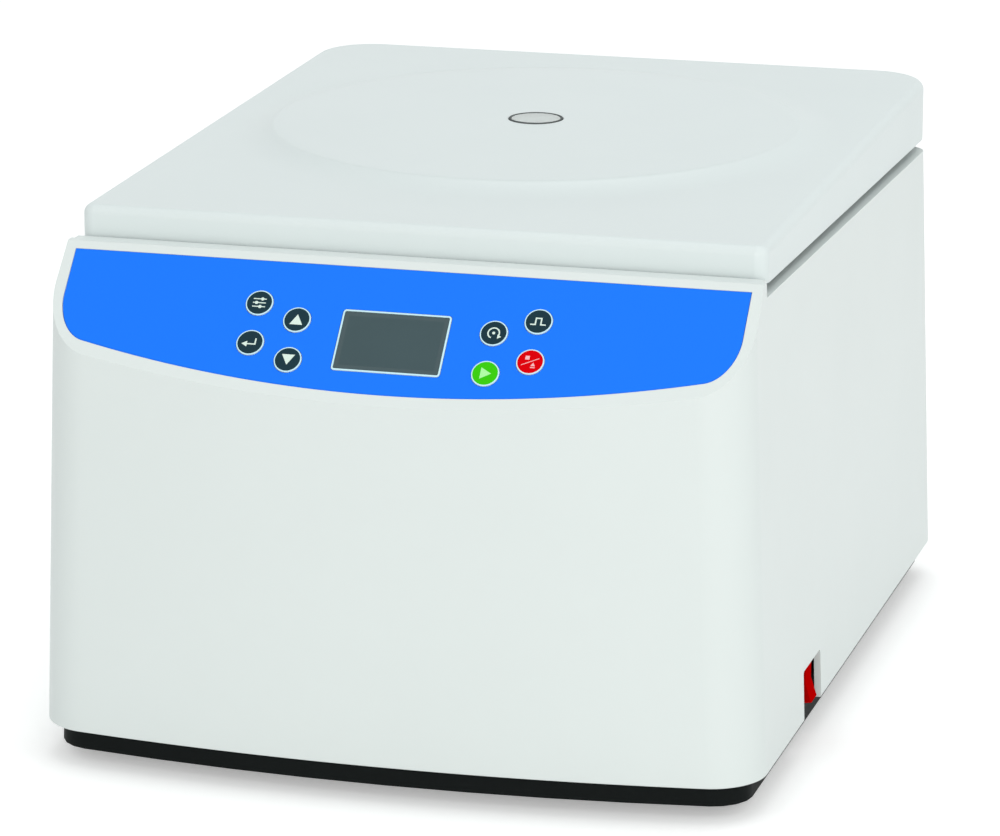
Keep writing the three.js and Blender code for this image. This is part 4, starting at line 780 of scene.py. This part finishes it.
def drawUnits(bm):
    addArc(bm, 2.9, 0.7, -20, 250)
    addDisc(bm, (2.85, -1.9), 1.35, 3, 150)
    addDisc(bm, (0, 0), 0.8, 20)


def drawPulse(bm):
    addBar(bm, (-4, -1.8), (-1.75, -1.8), 0.7)
    addBar(bm, (-1.4, -2.15), (-1.4, 2.15), 0.7)
    addBar(bm, (-1.05, 1.8), (1.05, 1.8), 0.7)
    addBar(bm, (1.4, -2.15), (1.4, 2.15), 0.7)
    addBar(bm, (1.75, -1.8), (4, -1.8), 0.7)


def drawStart(bm):
    addDisc(bm, (-0.6, 0), 3.7, 3, -90)


def drawStop(bm):
    addBar(bm, (-4.3, -2.1), (4.3, 2.1), 0.35)
    addDisc(bm, (-1.7, 2.2), 1.5, 4, 45)
    addDisc(bm, (1.7, -1.7), 1.35, 3)
    addBar(bm, (0.5, -3.2), (2.9, -3.2), 0.5)


keyMarks = {
    "key_set": drawSet, "key_enter": drawEnter, "key_up": drawUp, "key_down": drawDown,
    "key_units": drawUnits, "key_pulse": drawPulse, "key_start": drawStart, "key_stop": drawStop,
}
keyInks = {"key_start": "greenInk", "key_stop": "redInk"}  # the other marks are in paleInk


def makeMark(name, place):
    bm = bmesh.new()
    keyMarks[name](bm)
    bmesh.ops.scale(bm, vec=(mm, mm, mm), verts=bm.verts)
    bmesh.ops.recalc_face_normals(bm, faces=bm.faces)
    for face in bm.faces:
        if face.normal.z < 0:
            face.normal_flip()
    raised = bmesh.ops.extrude_face_region(bm, geom=bm.faces[:], use_keep_orig=True)["geom"]
    lifted = [item for item in raised if isinstance(item, bmesh.types.BMVert)]
    bmesh.ops.translate(bm, verts=lifted, vec=(0, 0, keys["inkHeight"]))
    bmesh.ops.translate(bm, verts=bm.verts, vec=(0, 0, keys["proud"]))
    bmesh.ops.recalc_face_normals(bm, faces=bm.faces)
    ink = inks[keyInks.get(name, "paleInk")]
    finishPiece(toObject(name + "_mark", move(bm, place)), name, material=ink, evenNormals=False)


makeCasing()
makeOverlay()
makeDisplay()
for keyName, (keyX, keyDrop) in keyPlaces.items():
    keyMatrix = panelMatrix @ Matrix.Translation((keyX, -keyDrop, 0))
    makeKey(keyName, keyMatrix)
    makeMark(keyName, keyMatrix)
print("housing, overlay, display and keys made")


# Lid
lid = {
    "edgeRadius": 5 * mm,
    "frontCorner": 7 * mm,
    "backCorner": 32 * mm,
    "domeRadius": 142 * mm,
    "domeBlend": 26 * mm,
    "domeRise": 5.4 * mm,
    "domeSweep": 2.7,  # higher keeps the dome's foot flat for longer
    "domeCrown": 1.5 * mm,
    "topDrop": 10 * mm,
    "backRise": 5 * mm,  # of the top, from its front edge to its rear edge
    "sightRadius": 15 * mm,
    "skirtGap": 4.6 * mm,
    "wall": 4 * mm,
    "rimSoftness": 0.5 * mm,
    "domeSteps": 14,
    "crownSteps": 16,
    "edgeSteps": 7,
    "frontCornerSteps": 8,
    "backCornerSteps": 14,
    "segments": 128,
}
lidLow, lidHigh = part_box("lid_shell")
lidTop = lidHigh.z - lid["topDrop"]


# The lid's flat outline inside the rounded edge, as a loop of edges
def lidOutline(bm):
    inset = lid["edgeRadius"]
    for vert in bmesh.ops.create_grid(bm, x_segments=1, y_segments=1, size=1)["verts"]:
        vert.co = (math.copysign(lidHigh.x - inset, vert.co.x),
                   lidLow.y + inset if vert.co.y < 0 else lidHigh.y - inset, lidTop)
    middle = (lidLow.y + lidHigh.y) / 2
    for isFront, name in ((True, "frontCorner"), (False, "backCorner")):
        corners = [vert for vert in bm.verts if (vert.co.y < middle) == isFront and len(vert.link_edges) == 2]
        roundOff(bm, corners, lid[name] - inset, lid[name + "Steps"], affect="VERTICES")
    bmesh.ops.delete(bm, geom=bm.faces[:], context="FACES_ONLY")
    return bm.edges[:]


# The level direction in which a point of the outline faces
def outwardFrom(vert):
    inFront = vert.co.y < chamberY
    inset = lid["frontCorner"] if inFront else lid["backCorner"]
    centre = Vector((math.copysign(lidHigh.x - inset, vert.co.x),
                     lidLow.y + inset if inFront else lidHigh.y - inset))
    return (vert.co.xy - centre).normalized()


# The dome from its foot inwards: its rise, its crown, and the lip round the sight glass
def domeProfile():
    profile = []
    for step in range(lid["domeSteps"] + 1):
        share = step / lid["domeSteps"]
        profile.append((lid["domeRadius"] + lid["domeBlend"] * (1 - share),
                        lidTop + lid["domeRise"] * share ** lid["domeSweep"]))
    lip = lid["rimSoftness"]
    holeShare = (lid["sightRadius"] + lip) / lid["domeRadius"]
    for step in range(1, lid["crownSteps"] + 1):
        share = 1 - (1 - holeShare) * step / lid["crownSteps"]
        profile.append((lid["domeRadius"] * share,
                        lidTop + lid["domeRise"] + lid["domeCrown"] * (1 - share * share)))
    lipRadius, lipTop = profile[-1]
    return profile + arcPoints(lipRadius, lipTop - lip, lip, 90, 180, steps=5)[1:]


# Extrudes a loop of edges; each new vertex keeps the heading of the one it came from
def extrudeLoop(bm, loop, headings):
    extruded = bmesh.ops.extrude_edge_only(bm, edges=loop)["geom"]
    verts = [item for item in extruded if isinstance(item, bmesh.types.BMVert)]
    edges = [item for item in extruded if isinstance(item, bmesh.types.BMEdge)
             and all(vert in verts for vert in item.verts)]
    nextHeadings = {}
    for vert in verts:
        source = min(headings, key=lambda other: (other.co - vert.co).length_squared)
        nextHeadings[vert] = headings[source]
    return edges, nextHeadings


def makeLidShell():
    bm = bmesh.new()
    outline = lidOutline(bm)
    headings = {vert: outwardFrom(vert) for edge in outline for vert in edge.verts}
    profile = domeProfile()
    spinProfile(profile, lid["segments"], chamberY, into=bm)
    foot = [edge for edge in bm.edges if edge.is_boundary
            and abs((edge.verts[0].co.xy - Vector((0, chamberY))).length - profile[0][0]) < tolerance]
    bmesh.ops.triangle_fill(bm, edges=outline + foot, use_beauty=True, normal=(0, 0, 1))
    loop, radius = outline, lid["edgeRadius"]
    for step in range(lid["edgeSteps"]):
        loop, headings = extrudeLoop(bm, loop, headings)
        before, after = (math.pi / 2 * count / lid["edgeSteps"] for count in (step, step + 1))
        push = radius * (math.sin(after) - math.sin(before))
        for vert, heading in headings.items():
            vert.co.x += heading.x * push
            vert.co.y += heading.y * push
            vert.co.z += radius * (math.cos(after) - math.cos(before))
    for vert in extrudeLoop(bm, loop, headings)[1]:
        vert.co.z = sideTopAt(vert.co.y) + lid["skirtGap"]
    slope = lid["backRise"] / (lidHigh.y - lidLow.y)
    for vert in bm.verts:
        if vert.co.z > lidTop - radius - tolerance:
            vert.co.z += slope * (vert.co.y - lidLow.y)
    bmesh.ops.recalc_face_normals(bm, faces=bm.faces)
    if sum(face.normal.z * face.calc_area() for face in bm.faces) < 0:
        bmesh.ops.reverse_faces(bm, faces=bm.faces)
    shell = toObject("lid_cover", bm)
    wall = shell.modifiers.new("wall", "SOLIDIFY")
    wall.thickness = lid["wall"]
    wall.offset = -1
    replaceNode(shell, "lid_shell")


sightGlass = {
    "flange": 2.6 * mm, "recess": 0.4 * mm, "softness": 0.5 * mm, "seal": 1.5 * mm, "sealDrop": 0.1 * mm,
    "segments": 96,
}


def makeSightGlass():
    low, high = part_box("sight_glass")
    top, soft = lidHigh.z - sightGlass["recess"], sightGlass["softness"]
    outer = lid["sightRadius"] - sightGlass["seal"]
    shoulder = low.z + sightGlass["flange"]
    profile = [(0, low.z), (high.x, low.z), (high.x, shoulder), (outer, shoulder)]
    profile += arcPoints(outer - soft, top - soft, soft, 0, 90, steps=6) + [(0, top)]
    lens = spinProfile(profile, sightGlass["segments"], chamberY)
    replaceNode(toObject("sight_lens", lens), "sight_glass")
    # A grey rubber seal round the lens, standing proud and dark all round; it also stands in for the shade
    # along the lens's raised front edge, so it is partly a real seal and partly painted shade
    half = (sightGlass["seal"] - fit) / 2
    middle = outer + half
    profile = [(middle - half, shoulder), (middle + half, shoulder)]
    profile += arcPoints(middle, lidHigh.z - half - sightGlass["sealDrop"], half, 0, 180, steps=8)
    seal = spinProfile(profile, sightGlass["segments"], chamberY, closed=True)
    finishPiece(toObject("sight_seal_and_shade", seal), "sight_glass", "grey_rubber")


makeLidShell()
makeSightGlass()
print("lid shell and sight glass made")


# Chamber and rotor
chamber = {
    "flange": 15 * mm, "sheet": 1.5 * mm, "corner": 16 * mm, "hole": 30 * mm, "lip": 1.5 * mm,
    "sealWidth": 8 * mm, "sealLip": 2 * mm, "segments": 128,
}


def makeBowl():
    low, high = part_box("chamber_bowl")
    radius = high.x - chamber["flange"]
    sheet, corner, lip, hole = (chamber[name] for name in ("sheet", "corner", "lip", "hole"))
    floor = low.z + sheet
    profile = arcPoints(radius + lip, high.z - lip, lip, 90, 180, steps=6)
    profile += arcPoints(radius - corner, floor + corner, corner, 0, -90, steps=12)
    profile += [(hole, floor), (hole, low.z)]
    profile += arcPoints(radius - corner, floor + corner, corner + sheet, -90, 0, steps=12)
    profile += [(radius + sheet, high.z - sheet), (high.x, high.z - sheet), (high.x, high.z)]
    bowl = spinProfile(profile, chamber["segments"], chamberY, closed=True)
    replaceNode(toObject("bowl_pressing", bowl), "chamber_bowl")


def makeSeal():
    low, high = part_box("chamber_seal")
    outer, lip = high.x, chamber["sealLip"]
    inner = outer - chamber["sealWidth"]
    half = (low.z + high.z) / 2
    profile = [(inner, low.z), (outer, low.z), (outer, half)]
    profile += arcPoints(outer - lip, high.z - lip, lip, 0, 90, steps=5)
    profile += arcPoints(inner + lip, high.z - lip, lip, 90, 180, steps=5) + [(inner, half)]
    seal = spinProfile(profile, chamber["segments"], chamberY, closed=True)
    replaceNode(toObject("seal_ring", seal), "chamber_seal")


rotor = {
    "flare": 36 * mm, "flareTop": 16.35 * mm, "shoulder": 21.8 * mm, "crownInset": 21.2 * mm,
    "dishRadius": 31.78 * mm, "dishSlope": 8 * mm, "dishDepth": 14 * mm, "bore": 8.3 * mm, "softness": 2 * mm,
    "pockets": 6, "pocketRadius": 14.5 * mm, "pocketDepth": 74 * mm, "pocketCircle": 54 * mm,
    "pocketAngle": math.radians(28), "segments": 144, "pocketSegments": 48,
}


# The profile with every corner between its two ends drawn as a short curve
def softCorners(profile, softness, steps=4):
    rounded = [profile[0]]
    for last, point, following in zip(profile, profile[1:], profile[2:]):
        here = Vector(point)
        before = (Vector(last) - here).normalized() * softness
        after = (Vector(following) - here).normalized() * softness
        for step in range(steps + 1):
            share = step / steps
            rounded.append(tuple(here + before * (1 - share) ** 2 + after * share ** 2))
    return rounded + [profile[-1]]


def makeRotor():
    low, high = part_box("rotor")
    radius, dish, bore = high.x, rotor["dishRadius"], rotor["bore"]
    hubTop = high.z - rotor["dishDepth"]
    profile = [
        (bore, low.z), (radius - rotor["flare"], low.z), (radius, low.z + rotor["flareTop"]),
        (radius, low.z + rotor["shoulder"]), (radius - rotor["crownInset"], high.z), (dish, high.z),
        (dish - rotor["dishSlope"], hubTop), (bore, hubTop),
    ]
    rounded = softCorners(profile, rotor["softness"])
    body = toObject("rotor_body", spinProfile(rounded, rotor["segments"], chamberY, closed=True))
    mouth = rotor["pocketRadius"]
    pocket = arcPoints(0, mouth - rotor["pocketDepth"], mouth, -90, 0, steps=10)
    pocket += [(mouth, 2 * mouth), (0, 2 * mouth)]
    top = Matrix.Translation((0, chamberY, high.z))
    slant = Matrix.Translation((rotor["pocketCircle"], 0, 0)) @ Matrix.Rotation(-rotor["pocketAngle"], 4, "Y")
    turns = [Matrix.Rotation((index + 0.5) * 2 * math.pi / rotor["pockets"], 4, "Z")
             for index in range(rotor["pockets"])]
    cutWith(body, [move(spinProfile(pocket, rotor["pocketSegments"]), top @ turn @ slant) for turn in turns])
    replaceNode(body, "rotor")


makeBowl()
makeSeal()
makeRotor()
print("chamber and rotor made")


# Screws with a cross recess: on the rear panel, the inlet's flange and the deck
screws = {
    "headHeight": 1.4 * mm,
    "rimShare": 0.3,  # of the head's height, up to which its rim is straight
    "crownShares": (0.92, 0.75, 0.5, 0.25),  # of the head's radius, at the crown's rings
    "recessWidth": 0.35,  # of the head's radius, as is its length
    "recessLength": 1.2,
    "recessDepth": 0.9 * mm,
    "segments": 32,
    "panelRadius": 3 * mm,
    "panelPlaces": ((-146, 45), (146, 45), (-146, 213), (146, 213), (0, 213), (0, 45)),
    "inletRadius": 2 * mm,
    "inletInset": 5 * mm,
    "deckRadius": 3.2 * mm,
    "deckPlaces": ((-158, -164), (158, -164), (-162, 45), (162, 45), (-158, 205), (158, 205)),
}


def makeScrew(name, node, radius, place):
    height, rim = screws["headHeight"], screws["rimShare"]
    profile = [(0, -height / 2), (radius, -height / 2), (radius, height * rim)]
    profile += [(radius * share, height * (rim + (1 - rim) * (1 - share * share)))
                for share in screws["crownShares"]]
    screw = toObject(name, spinProfile(profile + [(0, height)], screws["segments"]))
    half, width = radius * screws["recessLength"] / 2, radius * screws["recessWidth"] / 2
    floor = height - screws["recessDepth"]
    cutWith(screw, [boxMesh((-x, -y, floor), (x, y, 2 * height)) for x, y in ((half, width), (width, half))])
    screw.data.transform(place)
    finishPiece(screw, node, "zinc_steel")


def makeScrews():
    facingBack = Matrix.Rotation(-math.pi / 2, 4, "X")
    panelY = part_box("rear_panel")[1].y
    for index, (x, z) in enumerate(screws["panelPlaces"]):
        place = Matrix.Translation((x * mm, panelY, z * mm)) @ facingBack
        makeScrew("panel_screw_%d" % index, "rear_panel", screws["panelRadius"], place)
    low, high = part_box("mains_inlet")
    for index, x in enumerate((low.x + screws["inletInset"], high.x - screws["inletInset"])):
        place = Matrix.Translation((x, high.y, (low.z + high.z) / 2)) @ facingBack
        makeScrew("inlet_screw_%d" % index, "mains_inlet", screws["inletRadius"], place)
    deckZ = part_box("top_deck")[1].z
    for index, (x, y) in enumerate(screws["deckPlaces"]):
        place = Matrix.Translation((x * mm, y * mm, deckZ))
        makeScrew("deck_screw_%d" % index, "top_deck", screws["deckRadius"], place)


# Bright metal sheaths on the inlet's three pins
inletPins = {
    "depth": 18 * mm, "length": 12 * mm, "pitch": 7 * mm, "width": 2 * mm, "height": 4.4 * mm,
    "skin": 0.15 * mm, "softness": 0.3 * mm,
}


def makeInletPins():
    low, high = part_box("mains_inlet")
    skin, height = inletPins["skin"], inletPins["height"]
    halfWidth, halfHeight = inletPins["width"] / 2 + skin, height / 2 + skin
    floor = high.y - inletPins["depth"]
    for place in (-1, 0, 1):
        x = (low.x + high.x) / 2 + place * inletPins["pitch"]
        z = (low.z + high.z) / 2 + (height / 2 if place == 0 else 0)
        bm = boxMesh((x - halfWidth, floor, z - halfHeight),
                     (x + halfWidth, floor + inletPins["length"] + skin, z + halfHeight))
        roundOff(bm, bm.edges[:], inletPins["softness"], segments=2)
        finishPiece(toObject("inlet_pin", bm), "mains_inlet", "zinc_steel", inks["brightPin"])


makeScrews()
makeInletPins()
print("screws and inlet pins made")


# Smaller nodes, with their softness in millimetres
softenedNodes = {
    "base_tray": 0.7, "rear_panel": 0.25, "top_deck": 0.5, "lid_liner": 0.8,
    "hinge_leaf_fixed_left": 0.4, "hinge_leaf_fixed_right": 0.4, "hinge_leaf_lid_left": 0.4,
    "hinge_leaf_lid_right": 0.4, "hinge_pin_left": 0.4, "hinge_pin_right": 0.4, "lid_striker": 0.4,
    "lock_body": 0.5, "lock_hook": 0.4, "switch_body": 0.35, "power_rocker": 0.6, "mains_inlet": 0.3,
    "fuse_holder": 0.4, "fan_frame": 0.5, "fan_wheel": 0.3, "rotor_nut": 0.5, "drive_shaft": 0.3,
    "rubber_foot_1": 0.6, "rubber_foot_2": 0.6, "rubber_foot_3": 0.6, "rubber_foot_4": 0.6,
}
softening = {
    "flatAngle": math.radians(0.2),
    "cornerAngle": math.radians(32),
    "edgeShare": 0.4,  # of the shortest edge, at most
}


# A merged copy of a node's mesh, with its flat faces made whole and its corners softened
def softenNode(node, width):
    bm = bmesh.new()
    bm.from_mesh(nodes[node].data)
    bmesh.ops.remove_doubles(bm, verts=bm.verts, dist=tolerance)
    bmesh.ops.dissolve_limit(bm, angle_limit=softening["flatAngle"], verts=bm.verts, edges=bm.edges)
    corners = [edge for edge in bm.edges
               if edge.is_manifold and edge.calc_face_angle() > softening["cornerAngle"]]
    shortest = min(edge.calc_length() for edge in corners)
    roundOff(bm, corners, min(width, shortest * softening["edgeShare"]), segments=2)
    replaceNode(toObject(node + "_shape", bm), node)


for node, softness in softenedNodes.items():
    softenNode(node, softness * mm)
for node, cadPiece in nodes.items():
    cadPiece.data.materials.clear()
    cadPiece.data.materials.append(finishes[slotOf[node]])
print("smaller pieces finished")


# Floor, lamps and world, in metres
stage = {
    "floorSize": 24,
    "floorColor": (0.9, 0.9, 0.9, 1),
    "floorRoughness": 0.9,
    "floorGloss": 0.1,
    "floorGlow": 0.34,
    "glowColor": (1, 1, 1, 1),
    "worldColor": (0.955, 0.98, 0.975, 1),
    "worldLevel": 0.69,
    "worldSeenLevel": 1,
    "lampTarget": (0, 0, 0.15),
    "lamps": {
        "front": {"place": (1.2, -3.4, 0.95), "size": 2.2, "power": 39.5, "color": (1, 0.99, 0.955)},
        "right": {"place": (3.2, -0.6, 1.4), "size": 2.0, "power": 9, "color": (0.98, 1, 0.98)},
        "overhead": {"place": (0.2, 0.4, 3.2), "size": 2.6, "power": 20.5, "color": (0.96, 0.99, 1)},
    },
}


# 1 for what the camera sees by itself, in a reflection or through glass
def seenDirectly(tree):
    path = addNode(tree, "LightPath").outputs
    seen = path["Is Camera Ray"]
    for name in ("Is Glossy Ray", "Is Transmission Ray"):
        seen = calculate(tree, "MAXIMUM", seen, path[name])
    return seen


def makeFloor():
    bm = bmesh.new()
    bmesh.ops.create_grid(bm, x_segments=1, y_segments=1, size=stage["floorSize"] / 2)
    floor = toObject("floor", bm)
    material, tree, shader = newMaterial("floorPaper", {
        "Base Color": stage["floorColor"], "Roughness": stage["floorRoughness"],
        "Specular IOR Level": stage["floorGloss"], "Emission Color": stage["glowColor"]})
    glow = calculate(tree, "MULTIPLY", seenDirectly(tree), stage["floorGlow"])
    tree.links.new(glow, shader["Emission Strength"])
    floor.data.materials.append(material)


def makeWorld():
    world = bpy.data.worlds.new("studio")
    bpy.context.scene.world = world
    world.use_nodes = True
    tree = world.node_tree
    background = tree.nodes["Background"].inputs
    background["Color"].default_value = stage["worldColor"]
    levels = {"Factor": seenDirectly(tree), 2: stage["worldLevel"], 3: stage["worldSeenLevel"]}
    tree.links.new(addNode(tree, "Mix", levels, data_type="FLOAT").outputs[0], background["Strength"])


def makeLamps():
    for name, lamp in stage["lamps"].items():
        data = bpy.data.lights.new(name, "AREA")
        data.energy = lamp["power"]
        data.color = lamp["color"]
        data.shape = "DISK"
        data.size = lamp["size"]
        pointAt(bpy.data.objects.new(name, data), lamp["place"], stage["lampTarget"])


makeFloor()
makeWorld()
makeLamps()
bpy.context.scene.view_settings.view_transform = "Standard"
print("floor, world and lamps made")
